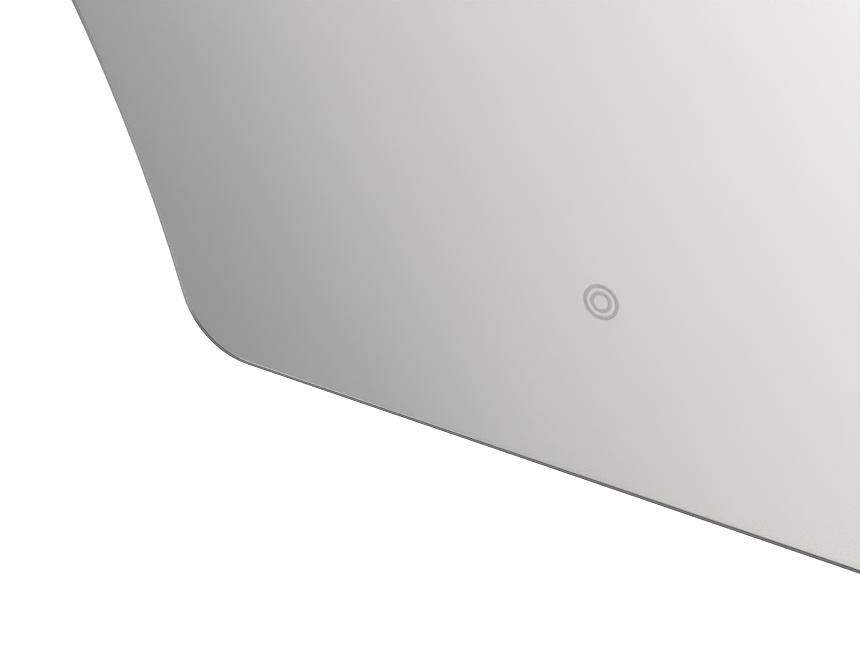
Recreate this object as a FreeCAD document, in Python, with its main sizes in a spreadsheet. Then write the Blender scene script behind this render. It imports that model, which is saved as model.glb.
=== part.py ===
import FreeCAD, Part
import Sketcher
import math
import os

# A back-lit bathroom mirror that hangs on a rail on the wall.
# X runs to the right along the mirror, Z runs up, and the mirror faces -Y.
# The origin is on the wall, in the middle of the line of the wall rail's screw holes.
# "Forward" sizes are measured from the wall towards the room, and "up" sizes from the foot of the glass.

Vector = FreeCAD.Vector
doc = FreeCAD.newDocument("LightedMirror")

# ---- Driving sizes, in millimetres and degrees ----------------------------------------------------

SIZES = {
    # outline of the glass: straight foot, two corners, two hollow flanks, one round head
    "corner_spacing": 444.7,
    "corner_radius": 44.8,
    "flank_angle": 14.9,
    "flank_radius": 842.0,
    "head_radius": 400.0,
    # layers of the mirror
    "glass_thickness": 3.0,
    "arris": 0.3,
    "silver_thickness": 0.2,
    "film_thickness": 0.2,
    "film_margin": 3.0,
    "tape_thickness": 1.0,
    "tape_margin": 1.5,
    # touch symbol and the sensor behind it
    "symbol_rise": 109.2,
    "symbol_radius": 10.0,
    "symbol_line": 2.0,
    "sensor_radius": 20.0,
    "sensor_depth": 9.0,
    "sensor_wall": 1.5,
    "sensor_ledge": 2.5,
    "sensor_play": 0.3,
    "board_thickness": 1.6,
    "lens_thickness": 2.0,
    "lens_skirt": 1.8,
    "film_window_play": 1.5,
    # bent frame profile with its outer channel
    "wall_gap": 5.6,
    "frame_depth": 28.0,
    "frame_inset": 60.0,
    "frame_corner_radius": 40.0,
    "frame_wall": 1.6,
    "front_flange": 16.0,
    "rear_flange": 20.0,
    "channel_width": 12.0,
    "lip_height": 4.5,
    "lip_thickness": 1.4,
    "seam_gap": 0.6,
    "splice_length": 90.0,
    "splice_thickness": 2.0,
    "splice_play": 1.5,
    "splice_screw_pitch": 22.0,
    # light
    "strip_width": 10.0,
    "strip_thickness": 0.4,
    "strip_glue": 0.15,
    "strip_gap": 6.0,
    "led_pitch": 16.7,
    "led_length": 3.5,
    "led_width": 2.8,
    "led_height": 0.8,
    "diffuser_height": 8.0,
    "diffuser_wall": 1.2,
    "diffuser_play": 0.3,
    # cross rails
    "rail_wall": 1.5,
    "rail_depth": 14.0,
    "upper_rail_height": 44.0,
    "upper_rail_lift": 2.0,
    "lower_rail_height": 40.0,
    "lower_rail_rise": 216.0,
    "rail_end_play": 0.5,
    "rivet_spacing": 20.0,
    # wall rail and hooks; the drop runs from the inside of the frame's crown to the line of the wall screws
    "rail_drop": 209.67,
    "wall_rail_length": 440.0,
    "wall_rail_thickness": 2.0,
    "wall_rail_below": 14.0,
    "wall_rail_above": 10.0,
    "lip_top": 28.0,
    "bend_angle": 45.0,
    "bend_radius": 0.9,
    "plate_corner": 2.0,
    "screw_spacing": 360.0,
    "slot_length": 14.0,
    "slot_radius": 3.0,
    "hook_spacing": 300.0,
    "hook_width": 44.0,
    "hook_thickness": 2.0,
    "hook_leaf": 30.0,
    "hook_tongue": 10.0,
    "tongue_play": 0.5,
    "hook_screw_spacing": 24.0,
    "bumper_radius": 7.0,
    "bumper_taper": 12.0,
    "bumper_spacing": 300.0,
    "bumper_angle": 45.0,
    # fasteners
    "rivet_radius": 1.6,
    "rivet_head_radius": 3.3,
    "rivet_head": 1.2,
    "rivet_tail": 2.5,
    "screw_radius": 2.0,
    "screw_head_radius": 3.6,
    "screw_head": 2.2,
    "screw_tip": 2.0,
    "small_screw_radius": 1.5,
    "small_head_radius": 2.8,
    "small_head": 1.8,
    "hole_play": 0.15,
    # gear box
    "box_width": 150.0,
    "box_side_gap": 2.0,
    "box_foot_gap": 14.0,
    "box_rail_gap": 8.0,
    "box_wall": 2.0,
    "box_ledge": 2.5,
    "box_corner": 6.0,
    "box_ear_width": 18.0,
    "box_ear_spacing": 110.0,
    "box_ear_thickness": 1.6,
    "lid_thickness": 2.0,
    "lid_play": 0.3,
    "gasket_thickness": 1.0,
    "post_radius": 4.0,
    "post_inset": 8.0,
    "post_drill": 10.0,
    "driver_length": 118.0,
    "driver_height": 36.0,
    "driver_depth": 17.0,
    "driver_rise": 14.0,
    "driver_chamfer": 2.0,
    "block_pitch": 9.0,
    "block_height": 20.0,
    "block_depth": 14.0,
    "block_left": 46.0,
    "block_gap": 16.0,
    "block_screw_radius": 1.9,
    "well_inset": 5.0,
    "wire_depth": 9.8,
    "wire_radius": 1.6,
    # cable gland for the mains lead
    "gland_drop": 34.0,
    "gland_thread_radius": 5.9,
    "gland_bore": 3.8,
    "seal_bore": 3.25,
    "gland_flats": 16.0,
    "gland_flange": 5.0,
    "gland_nut_length": 15.0,
    "gland_dome": 3.0,
    "gland_bevel": 1.5,
    "locknut_thickness": 4.0,
    "thread_end": 1.5,
    "gland_play": 0.3,
    "seal_wall": 1.4,
    "seal_length": 9.0,
    # demister pad
    "pad_width": 340.0,
    "pad_height": 230.0,
    "pad_gap": 20.0,
    "pad_thickness": 0.4,
    "pad_corner": 14.0,
    "pad_terminal_width": 24.0,
    "pad_terminal_height": 12.0,
    "pad_terminal_depth": 8.0,
    "pad_terminal_inset": 40.0,
    # low-voltage leads
    "lead_radius": 1.6,
    "lead_play": 0.2,
    "lead_standoff": 4.0,
    "lead_straight": 10.0,
    "lead_rise": 12.0,
    "lead_entry": 3.0,
    "clip_foot": 1.4,
    "clip_gap": 1.0,
    "clip_wall": 1.2,
    "clip_length": 8.0,
    "clip_wing": 4.0,
    "led_lead_inset": 110.0,
    "led_lead_shift": 10.0,
    "grommet_wall": 1.2,
    "grommet_flange": 1.0,
    "grommet_lip": 1.2,
    "demister_lead_inset": 60.0,
    "sensor_lead_lift": 12.0,
}

sizes = doc.addObject("Spreadsheet::Sheet", "Sizes")
for row, (name, number) in enumerate(SIZES.items(), 1):
    sizes.set(f"A{row}", str(number))
    sizes.setAlias(f"A{row}", name)
doc.recompute()

# ---- Places worked out from the driving sizes -----------------------------------------------------


def on_head(inset, up):
    """How far to the side the head of an outline lies at a height."""
    return f"sqrt((Sizes.head_radius - ({inset})) ^ 2 - ({up} - Places.head_up) ^ 2)"


def on_flank(inset, up):
    """How far to the side the flank of an outline lies at a height."""
    return f"Places.flank_x - sqrt((Sizes.flank_radius + {inset}) ^ 2 - ({up} - Places.flank_up) ^ 2)"


PLACES = {
    # centres of the flank and head circles, from the tangent chain of the outline
    "flank_reach": "Sizes.flank_radius + Sizes.corner_radius",
    "flank_x": "Sizes.corner_spacing / 2 + Places.flank_reach * cos(Sizes.flank_angle)",
    "flank_up": "Sizes.corner_radius - Places.flank_reach * sin(Sizes.flank_angle)",
    "head_reach": "Sizes.flank_radius + Sizes.head_radius",
    "head_up": "Places.flank_up + sqrt(Places.head_reach ^ 2 - Places.flank_x ^ 2)",
    # forward places of the layers
    "frame_rear": "Sizes.wall_gap",
    "frame_front": "Places.frame_rear + Sizes.frame_depth",
    "film_rear": "Places.frame_front + Sizes.tape_thickness",
    "silver_rear": "Places.film_rear + Sizes.film_thickness",
    "glass_rear": "Places.silver_rear + Sizes.silver_thickness",
    # the frame, measured inwards from the glass edge
    "frame_corner_up": "Sizes.frame_inset + Sizes.frame_corner_radius",
    "web_inner": "Sizes.frame_inset + Sizes.frame_wall",
    "channel_middle": "Places.frame_rear + Sizes.frame_depth / 2",
    "lip_outer": "Sizes.frame_inset - Sizes.lip_height",
    "strip_outer": "Sizes.frame_inset - Sizes.strip_glue - Sizes.strip_thickness",
    "diffuser_outer": "Sizes.frame_inset - Sizes.diffuser_height",
    "flange_inner": "Sizes.frame_inset + Sizes.rear_flange",
    "flange_middle": "Sizes.frame_inset + Sizes.rear_flange / 2",
    # cross rails: they lie against the front of the rear flange
    "rail_rear": "Places.frame_rear + Sizes.frame_wall",
    "rail_web_front": "Places.rail_rear + Sizes.rail_wall",
    "upper_rail_low": "Places.hook_seat + Sizes.upper_rail_lift",
    # hooks and wall rail, which hang from the frame's crown
    "rail_rise": "Places.head_up + Sizes.head_radius - Places.web_inner - Sizes.rail_drop",
    "hook_seat": "Places.rail_rise + Sizes.lip_top",
    "hook_screw_up": "Places.hook_seat + Sizes.hook_leaf / 2 + Sizes.hook_thickness",
    "tongue_rear": "Sizes.wall_rail_thickness + Sizes.tongue_play / 2",
    "lip_rear": "Places.tongue_rear + Sizes.hook_thickness + Sizes.tongue_play / 2",
    "lip_front": "Places.lip_rear + Sizes.wall_rail_thickness",
    "bend_low": "Places.rail_rise + Sizes.wall_rail_above",
    "bend_high": "Places.bend_low + Places.lip_rear / tan(Sizes.bend_angle)",
    "bend_shift": "Sizes.wall_rail_thickness * tan(Sizes.bend_angle / 2)",
    # sensor behind the touch symbol
    "sensor_rear": "Places.silver_rear - Sizes.sensor_depth",
    "lens_radius": "Sizes.sensor_radius - Sizes.sensor_wall - Sizes.sensor_play",
    "lens_rear": "Places.silver_rear - Sizes.lens_thickness",
    "board_rear": "Places.sensor_rear + Sizes.sensor_wall + Sizes.sensor_ledge",
    "board_front": "Places.board_rear + Sizes.board_thickness",
    # gear box: it fills the corner between the foot, the right flank and the lower cross rail
    "box_rise": "Places.flange_inner + Sizes.box_foot_gap",
    "box_top": "Sizes.lower_rail_rise - Sizes.box_rail_gap",
    "box_right": on_flank("Places.flange_inner", "Places.box_rise") + " - Sizes.box_side_gap",
    "box_left": "Places.box_right - Sizes.box_width",
    "box_rear": "Places.rail_rear",
    "box_floor": "Places.frame_front - Sizes.box_wall",
    "lid_front": "Places.box_rear + Sizes.lid_thickness",
    "post_rear": "Places.lid_front + Sizes.gasket_thickness",
    "box_middle_x": "Places.box_left + Sizes.box_width / 2",
    "lower_rail_middle": "Sizes.lower_rail_rise + Sizes.lower_rail_height / 2",
    # leads run against the film, held by clips
    "lead_forward": "Places.film_rear - Sizes.lead_standoff - Sizes.lead_play - Sizes.lead_radius",
    "led_lead_x": "Places.box_left + Sizes.led_lead_inset",
    "led_lead_web_x": "Places.led_lead_x - Sizes.led_lead_shift",
    "demister_lead_x": "Places.box_left + Sizes.demister_lead_inset",
    # gland, in the middle of the gear box's depth, and demister pad
    "gland_up": "Places.box_top - Sizes.gland_drop",
    "gland_forward": "(Places.lid_front + Places.box_floor) / 2",
    "gland_outer": "Places.box_left - Sizes.gland_flange",
    "pad_rise": "Sizes.lower_rail_rise + Sizes.lower_rail_height + Sizes.pad_gap",
    "pad_terminal_x": "Sizes.pad_width / 2 - Sizes.pad_terminal_inset",
}

places = doc.addObject("App::VarSet", "Places")
for name in PLACES:
    places.addProperty("App::PropertyFloat", name, "Places")
for name, formula in PLACES.items():
    places.setExpression(name, formula)
doc.recompute()

ruler = doc.addObject("App::VarSet", "Ruler")
ruler.addProperty("App::PropertyFloat", "reading", "Ruler")


def measure(formula):
    """The present value of a formula of sizes and places."""
    ruler.setExpression("reading", str(formula))
    ruler.recompute()
    return ruler.reading


# ---- Bodies, sketches and features ----------------------------------------------------------------

parts = []


def new_body(label):
    """A body for one sub-part, placed so that the screw holes of the wall rail lie at Z = 0."""
    body = doc.addObject("PartDesign::Body", label)
    body.Label = label
    body.AllowCompound = True
    body.setExpression("Placement.Base.z", "-Places.rail_rise")
    parts.append(body)
    return body


def new_sketch(body, role, distance):
    """A sketch on one of the body's own planes, moved along the plane's normal."""
    sketch = body.newObject("Sketcher::SketchObject", "Outline")
    plane = [feature for feature in body.Origin.OriginFeatures if feature.Role == role][0]
    sketch.AttachmentSupport = [(plane, "")]
    sketch.MapMode = "FlatFace"
    sketch.setExpression("AttachmentOffset.Base.z", distance)
    return sketch


def wall_sketch(body, forward):
    """A sketch parallel to the wall: X to the right, Z up."""
    return new_sketch(body, "XZ_Plane", forward)


def side_sketch(body, across):
    """A sketch seen from the right: backwards (Y) and up (Z)."""
    return new_sketch(body, "YZ_Plane", across)


def plan_sketch(body, up):
    """A sketch seen from above: X to the right and backwards (Y)."""
    return new_sketch(body, "XY_Plane", up)


def bind(sketch, constraint, formula):
    """Add a dimension to a sketch and tie it to a formula."""
    index = sketch.addConstraint(constraint)
    sketch.setExpression(f"Constraints[{index}]", str(formula))


def draw_polygon(sketch, corners):
    """A closed outline of straight lines; each corner is a pair of formulas."""
    first = sketch.GeometryCount
    points = [Vector(measure(across), measure(up), 0) for across, up in corners]
    count = len(points)
    for index, point in enumerate(points):
        sketch.addGeometry(Part.LineSegment(point, points[(index + 1) % count]), False)
    for index, (across, up) in enumerate(corners):
        line = first + index
        following = first + (index + 1) % count
        sketch.addConstraint(Sketcher.Constraint("Coincident", line, 2, following, 1))
        bind(sketch, Sketcher.Constraint("DistanceX", -1, 1, line, 1, points[index].x), across)
        bind(sketch, Sketcher.Constraint("DistanceY", -1, 1, line, 1, points[index].y), up)


def draw_rectangle(sketch, left, right, low, high):
    draw_polygon(sketch, [(left, low), (right, low), (right, high), (left, high)])


def draw_circle(sketch, across, up, radius):
    centre = Vector(measure(across), measure(up), 0)
    circle = sketch.addGeometry(Part.Circle(centre, Vector(0, 0, 1), measure(radius)), False)
    bind(sketch, Sketcher.Constraint("DistanceX", -1, 1, circle, 3, centre.x), across)
    bind(sketch, Sketcher.Constraint("DistanceY", -1, 1, circle, 3, centre.y), up)
    bind(sketch, Sketcher.Constraint("Radius", circle, measure(radius)), radius)


def draw_slot(sketch, across, up, length, radius):
    """A slot that runs along the sketch's first axis, with its overall length."""
    x, z, half = measure(across), measure(up), measure(f"{length} / 2 - ({radius})")
    r = measure(radius)
    normal = Vector(0, 0, 1)
    right = Part.ArcOfCircle(Part.Circle(Vector(x + half, z, 0), normal, r), -math.pi / 2, math.pi / 2)
    left = Part.ArcOfCircle(Part.Circle(Vector(x - half, z, 0), normal, r), math.pi / 2, 3 * math.pi / 2)
    top = Part.LineSegment(Vector(x + half, z + r, 0), Vector(x - half, z + r, 0))
    low = Part.LineSegment(Vector(x - half, z - r, 0), Vector(x + half, z - r, 0))
    first = sketch.addGeometry([right, top, left, low], False)[0]
    for index in range(4):
        following = first + (index + 1) % 4
        sketch.addConstraint(Sketcher.Constraint("Tangent", first + index, 2, following, 1))
    bind(sketch, Sketcher.Constraint("Radius", first, r), radius)
    for arc, side in ((first, 1), (first + 2, -1)):
        end = f"{across} + {side} * ({length} / 2 - {radius})"
        bind(sketch, Sketcher.Constraint("DistanceX", -1, 1, arc, 3, x + side * half), end)
        bind(sketch, Sketcher.Constraint("DistanceY", -1, 1, arc, 3, z), up)


def outline_arcs(inset, corner_up):
    """The arcs of an inset outline, anticlockwise: centre, radius, first and last angle."""
    flank_x, flank_up, head_up = places.flank_x, places.flank_up, places.head_up
    corner = corner_up - inset
    flank = sizes.flank_radius + inset
    corner_x = flank_x - math.sqrt((flank + corner) ** 2 - (corner_up - flank_up) ** 2)
    low = math.atan2(corner_up - flank_up, flank_x - corner_x)
    high = math.atan2(head_up - flank_up, flank_x)
    half, full = math.pi, 2 * math.pi
    return [
        (Vector(corner_x, corner_up, 0), corner, -half / 2, -low),
        (Vector(flank_x, flank_up, 0), flank, half - high, half - low),
        (Vector(0, head_up, 0), sizes.head_radius - inset, -high, half + high),
        (Vector(-flank_x, flank_up, 0), flank, low, high),
        (Vector(-corner_x, corner_up, 0), corner, half + low, full - half / 2),
    ]


def draw_outline(sketch, inset, corner_up):
    """The mirror's outline moved inwards by a formula, with its lower corners centred at a given height."""
    distance = measure(inset)
    arcs = outline_arcs(distance, measure(corner_up))
    reach = arcs[0][0].x
    lines = [Part.LineSegment(Vector(-reach, distance, 0), Vector(reach, distance, 0))]
    for centre, radius, start, end in arcs:
        lines.append(Part.ArcOfCircle(Part.Circle(centre, Vector(0, 0, 1), radius), start, end))
    foot = sketch.addGeometry(lines, False)[0]
    right_corner, right_flank, head, left_flank, left_corner = range(foot + 1, foot + 6)
    joints = [(foot, 2, right_corner, 1), (right_corner, 2, right_flank, 2), (right_flank, 1, head, 1),
              (head, 2, left_flank, 2), (left_flank, 1, left_corner, 1), (left_corner, 2, foot, 1)]
    for joint in joints:
        sketch.addConstraint(Sketcher.Constraint("Tangent", *joint))
    sketch.addConstraint(Sketcher.Constraint("Horizontal", foot))
    bind(sketch, Sketcher.Constraint("DistanceY", -1, 1, foot, 1, distance), inset)
    for corner in (right_corner, left_corner):
        bind(sketch, Sketcher.Constraint("Radius", corner, arcs[0][1]), f"{corner_up} - ({inset})")
    for flank, side in ((right_flank, 1), (left_flank, -1)):
        bind(sketch, Sketcher.Constraint("Radius", flank, arcs[1][1]), f"Sizes.flank_radius + {inset}")
        across = Sketcher.Constraint("DistanceX", -1, 1, flank, 3, side * places.flank_x)
        bind(sketch, across, f"{side} * Places.flank_x")
        bind(sketch, Sketcher.Constraint("DistanceY", -1, 1, flank, 3, places.flank_up), "Places.flank_up")
    bind(sketch, Sketcher.Constraint("Radius", head, arcs[2][1]), f"Sizes.head_radius - ({inset})")


def draw_frame_outline(sketch, inset):
    """An outline that keeps its distance from the frame's web all the way round."""
    draw_outline(sketch, inset, "Places.frame_corner_up")


def pad(sketch, length, both_ways=False):
    """Thicken a sketch along its normal, or half each way."""
    feature = sketch.getParentGeoFeatureGroup().newObject("PartDesign::Pad", "Pad")
    feature.Profile = sketch
    feature.setExpression("Length", length)
    if both_ways:
        feature.SideType = "Symmetric"
    sketch.Visibility = False
    return feature


cuts = []


def pocket(sketch, length, both_ways=False):
    """Cut a sketch out, against its normal, or half each way; what it takes is checked at the end."""
    body = sketch.getParentGeoFeatureGroup()
    before = body.Tip
    feature = body.newObject("PartDesign::Pocket", "Pocket")
    feature.Profile = sketch
    feature.setExpression("Length", length)
    if both_ways:
        feature.SideType = "Symmetric"
    sketch.Visibility = False
    cuts.append((feature, before))
    return feature


def edges_along(feature, direction):
    """Names of a feature's straight edges that run along a direction."""
    names = []
    for index, edge in enumerate(feature.Shape.Edges, 1):
        if isinstance(edge.Curve, Part.Line) and abs(abs(edge.Curve.Direction.dot(direction)) - 1) < 1e-6:
            names.append(f"Edge{index}")
    return names


def folds(feature, corners):
    """Names of a feature's edges along X through corners of its section, each backwards and up."""
    names = []
    points = [(measure(back), measure(up)) for back, up in corners]
    for index, edge in enumerate(feature.Shape.Edges, 1):
        here = edge.Vertexes[0].Point
        along = edge.tangentAt(edge.FirstParameter)
        for back, up in points:
            if abs(along.x) > 0.999 and abs(here.y - back) < 0.01 and abs(here.z - up) < 0.01:
                names.append(f"Edge{index}")
    return names


def fold_sheet(plate, outside, inside, thickness):
    """Round the folds of a sheet: the inside by the bend radius, the outside by the sheet as well."""
    doc.recompute()
    outer = round_edges(plate, folds(plate, outside), f"Sizes.bend_radius + {thickness}")
    doc.recompute()
    return round_edges(outer, folds(outer, inside), "Sizes.bend_radius")


def round_edges(feature, names, radius):
    """Round the named edges of a body's last feature."""
    fillet = feature.getParentGeoFeatureGroup().newObject("PartDesign::Fillet", "Fillet")
    fillet.Base = (feature, names)
    fillet.setExpression("Radius", radius)
    return fillet


def bevel_edges(feature, names, size):
    """Bevel the named edges of a body's last feature."""
    chamfer = feature.getParentGeoFeatureGroup().newObject("PartDesign::Chamfer", "Chamfer")
    chamfer.Base = (feature, names)
    chamfer.setExpression("Size", size)
    return chamfer


def flat_faces(feature, normal):
    """Names of a feature's flat faces that look along a direction or against it."""
    names = []
    for index, face in enumerate(feature.Shape.Faces, 1):
        if isinstance(face.Surface, Part.Plane) and abs(abs(face.Surface.Axis.dot(normal)) - 1) < 1e-6:
            names.append(f"Face{index}")
    return names


def cut_seam(body, width):
    """Open a closed ring at the middle of the foot."""
    sketch = wall_sketch(body, "Places.film_rear")
    draw_rectangle(sketch, f"-{width} / 2", f"{width} / 2", "0", "2 * Places.flange_inner")
    pocket(sketch, "Places.film_rear")


def bars(body, plane, spots, radius, start, end):
    """Round bars along a plane's normal, between two places on it."""
    sketch = plane(body, start)
    for across, up in spots:
        draw_circle(sketch, across, up, radius)
    return pad(sketch, f"{end} - ({start})")


def holes(body, plane, spots, radius, start, end):
    """Round holes along a plane's normal, between two places on it."""
    sketch = plane(body, end)
    for across, up in spots:
        draw_circle(sketch, across, up, radius)
    pocket(sketch, f"{end} - ({start})")


def fasteners(label, spots, head, seat, end):
    """Screws or rivets whose heads stand behind their seat, with plain shanks."""
    body = new_body(label)
    head_radius, head_height, shank_radius = head
    bars(body, wall_sketch, spots, head_radius, f"{seat} - {head_height}", seat)
    bars(body, wall_sketch, spots, shank_radius, seat, end)


RIVET = ("Sizes.rivet_head_radius", "Sizes.rivet_head", "Sizes.rivet_radius")
SCREW = ("Sizes.screw_head_radius", "Sizes.screw_head", "Sizes.screw_radius")
SMALL_SCREW = ("Sizes.small_head_radius", "Sizes.small_head", "Sizes.small_screw_radius")
RIVET_HOLE = "Sizes.rivet_radius + Sizes.hole_play"
SCREW_HOLE = "Sizes.screw_radius + Sizes.hole_play"
SMALL_HOLE = "Sizes.small_screw_radius + Sizes.hole_play"
LEAD_HOLE = "Sizes.lead_radius + Sizes.lead_play"

# ---- Mirror: glass, silver and film ---------------------------------------------------------------

body = new_body("mirror_glass")
sketch = wall_sketch(body, "Places.glass_rear")
draw_outline(sketch, "0", "Sizes.corner_radius")
slab = pad(sketch, "Sizes.glass_thickness")
doc.recompute()
bevel_edges(slab, flat_faces(slab, Vector(0, 1, 0)), "Sizes.arris")

# The symbol is two rings without silver: the lens behind shows through them.
body = new_body("silver_backing")
sketch = wall_sketch(body, "Places.silver_rear")
draw_outline(sketch, "Sizes.arris", "Sizes.corner_radius")
for line in range(4):
    draw_circle(sketch, "0", "Sizes.symbol_rise", f"Sizes.symbol_radius - {line} * Sizes.symbol_line")
pad(sketch, "Sizes.silver_thickness")

body = new_body("safety_film")
sketch = wall_sketch(body, "Places.film_rear")
draw_outline(sketch, "Sizes.film_margin", "Sizes.corner_radius")
draw_circle(sketch, "0", "Sizes.symbol_rise", "Sizes.sensor_radius + Sizes.film_window_play")
pad(sketch, "Sizes.film_thickness")

# ---- Frame: a bent profile with a web, two inner flanges and an outer channel ---------------------

body = frame = new_body("frame_profile")
front_inner = "Sizes.frame_inset + Sizes.front_flange"
for inner, rear, front in (
        ("Places.web_inner", "Places.frame_rear", "Places.frame_front"),
        ("Places.flange_inner", "Places.frame_rear", "Places.rail_rear"),
        (front_inner, "Places.frame_front - Sizes.frame_wall", "Places.frame_front")):
    sketch = wall_sketch(body, rear)
    draw_frame_outline(sketch, "Sizes.frame_inset")
    draw_frame_outline(sketch, inner)
    pad(sketch, f"{front} - ({rear})")
for side in (-1, 1):
    middle = f"Places.channel_middle + {side} * (Sizes.channel_width + Sizes.lip_thickness) / 2"
    sketch = wall_sketch(body, f"{middle} - Sizes.lip_thickness / 2")
    draw_frame_outline(sketch, "Places.lip_outer")
    draw_frame_outline(sketch, "Places.web_inner")
    pad(sketch, "Sizes.lip_thickness")
cut_seam(body, "Sizes.seam_gap")

body = splice = new_body("frame_splice")
sketch = wall_sketch(body, "Places.rail_rear + Sizes.splice_play")
draw_rectangle(sketch, "-Sizes.splice_length / 2", "Sizes.splice_length / 2",
               "Places.web_inner", "Places.web_inner + Sizes.splice_thickness")
pad(sketch, "Sizes.frame_depth - 2 * Sizes.frame_wall - 2 * Sizes.splice_play")

body = new_body("foam_tape")
sketch = wall_sketch(body, "Places.frame_front")
draw_frame_outline(sketch, "Sizes.frame_inset + Sizes.tape_margin")
draw_frame_outline(sketch, f"{front_inner} - Sizes.tape_margin")
pad(sketch, "Sizes.tape_thickness")
cut_seam(body, "Sizes.seam_gap")

# ---- Light: flexible strip, its LEDs, and the opal cover that snaps over the lips -----------------

body = new_body("led_strip")
sketch = wall_sketch(body, "Places.channel_middle - Sizes.strip_width / 2")
draw_frame_outline(sketch, "Places.strip_outer")
draw_frame_outline(sketch, "Sizes.frame_inset - Sizes.strip_glue")
pad(sketch, "Sizes.strip_width")
cut_seam(body, "Sizes.strip_gap")


def points_along_outline(inset, corner_up, pitch, clear):
    """Evenly spaced points on an outline with their outward directions, clear of the foot's middle."""
    arcs = outline_arcs(inset, corner_up)
    reach = arcs[0][0].x
    runs = [(reach, None)] + [(radius * (end - start), (centre, radius, start, end))
                              for centre, radius, start, end in arcs] + [(reach, None)]
    total = sum(length for length, arc in runs)
    count = math.floor((total - 2 * clear) / pitch)
    first = (total - count * pitch) / 2
    for index in range(count + 1):
        along = first + index * pitch
        for number, (length, arc) in enumerate(runs):
            if along <= length:
                break
            along -= length
        if arc is None:
            across = along if number == 0 else along - reach
            yield Vector(across, inset, 0), Vector(0, -1, 0)
            continue
        centre, radius, start, end = arc
        hollow = number in (2, 4)
        angle = end - along / radius if hollow else start + along / radius
        ray = Vector(math.cos(angle), math.sin(angle), 0)
        yield centre + ray * radius, -ray if hollow else ray


def build_leds():
    """The LED packages as one group of blocks that stand on the strip and face outwards."""
    length, width, height = sizes.led_length, sizes.led_width, sizes.led_height
    blocks = []
    for point, outward in points_along_outline(places.strip_outer, places.frame_corner_up,
                                               sizes.led_pitch, sizes.strip_gap):
        block = Part.makeBox(length, width, height, Vector(-length / 2, -width / 2, 0))
        facing = FreeCAD.Rotation(Vector(outward.y, 0, -outward.x), Vector(0, 1, 0),
                                  Vector(outward.x, 0, outward.y), "ZXY")
        block.Placement = FreeCAD.Placement(Vector(point.x, -places.channel_middle, point.y), facing)
        blocks.append(block)
    return Part.makeCompound(blocks)


def new_feature(label, shape):
    """A sub-part made of a ready shape, placed as the bodies are."""
    feature = doc.addObject("Part::Feature", label)
    feature.Label = label
    feature.Shape = shape
    feature.setExpression("Placement.Base.z", "-Places.rail_rise")
    parts.append(feature)


new_feature("led_packages", build_leds())

body = new_body("light_diffuser")
half_mouth = "Sizes.channel_width / 2 + Sizes.lip_thickness + Sizes.diffuser_play"
sketch = wall_sketch(body, f"Places.channel_middle - ({half_mouth}) - Sizes.diffuser_wall")
draw_frame_outline(sketch, "Places.diffuser_outer")
draw_frame_outline(sketch, "Sizes.frame_inset - Sizes.diffuser_play")
pad(sketch, f"2 * ({half_mouth} + Sizes.diffuser_wall)")
sketch = wall_sketch(body, f"Places.channel_middle + {half_mouth}")
draw_frame_outline(sketch, "Places.diffuser_outer + Sizes.diffuser_wall")
draw_frame_outline(sketch, "Sizes.frame_inset")
pocket(sketch, f"2 * ({half_mouth})")
cut_seam(body, "Sizes.seam_gap")

# ---- Cross rails: folded channels whose ends follow the bent frame and lie on its rear flange -----


def both_sides(spots):
    """The same spots on the right and on the left."""
    return [(f"{side} * ({across})", up) for across, up in spots for side in (1, -1)]


def cross_rail(label, low, height, rivets):
    body = new_body(label)
    rear, web = "-Places.rail_rear", "-Places.rail_web_front"
    front = "-(Places.rail_rear + Sizes.rail_depth)"
    high, wall = f"{low} + {height}", "Sizes.rail_wall"
    sketch = side_sketch(body, "0")
    draw_polygon(sketch, [(rear, low), (rear, high), (front, high), (front, f"{high} - {wall}"),
                          (web, f"{high} - {wall}"), (web, f"{low} + {wall}"),
                          (front, f"{low} + {wall}"), (front, low)])
    channel = pad(sketch, "2 * Sizes.head_radius", both_ways=True)
    fold_sheet(channel, [(rear, low), (rear, high)],
               [(web, f"{high} - {wall}"), (web, f"{low} + {wall}")], wall)
    sketch = wall_sketch(body, "Places.frame_front")
    around = "(Places.head_up + Sizes.head_radius)"
    draw_rectangle(sketch, f"-{around}", around, "0", f"2 * {around}")
    draw_frame_outline(sketch, "Places.web_inner + Sizes.rail_end_play")
    pocket(sketch, "Places.frame_front")
    holes(body, wall_sketch, rivets, RIVET_HOLE, "Places.rail_rear", "Places.rail_web_front")
    return body


upper_rivets = []
lower_rivets = []
for side in (-1, 1):
    up = f"Places.upper_rail_low + (Sizes.upper_rail_height + {side} * Sizes.rivet_spacing) / 2"
    upper_rivets.append((on_head("Places.flange_middle", up), up))
    up = f"Places.lower_rail_middle + {side} * Sizes.rivet_spacing / 2"
    lower_rivets.append((on_flank("Places.flange_middle", up), up))
rail_rivets = both_sides(upper_rivets + lower_rivets)
hook_rivets = both_sides([(f"Sizes.hook_spacing / 2 + {side} * Sizes.hook_screw_spacing / 2",
                           "Places.hook_screw_up") for side in (-1, 1)])
ear_screws = [(f"Places.box_middle_x + {side} * Sizes.box_ear_spacing / 2", "Places.lower_rail_middle")
              for side in (-1, 1)]

cross_rail("upper_cross_rail", "Places.upper_rail_low", "Sizes.upper_rail_height",
           both_sides(upper_rivets) + hook_rivets)
lower_rail = cross_rail("lower_cross_rail", "Sizes.lower_rail_rise", "Sizes.lower_rail_height",
                        both_sides(lower_rivets))
holes(lower_rail, wall_sketch, ear_screws, SCREW_HOLE, "Places.rail_rear", "Places.rail_web_front")
holes(frame, wall_sketch, rail_rivets, RIVET_HOLE, "Places.frame_rear", "Places.rail_rear")

rivet_end = "Places.rail_web_front + Sizes.rivet_tail"
fasteners("cross_rail_rivets", rail_rivets, RIVET, "Places.frame_rear", rivet_end)

# ---- Hanging: two hooks on the upper cross rail, and the wall rail that they drop over ------------

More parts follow.
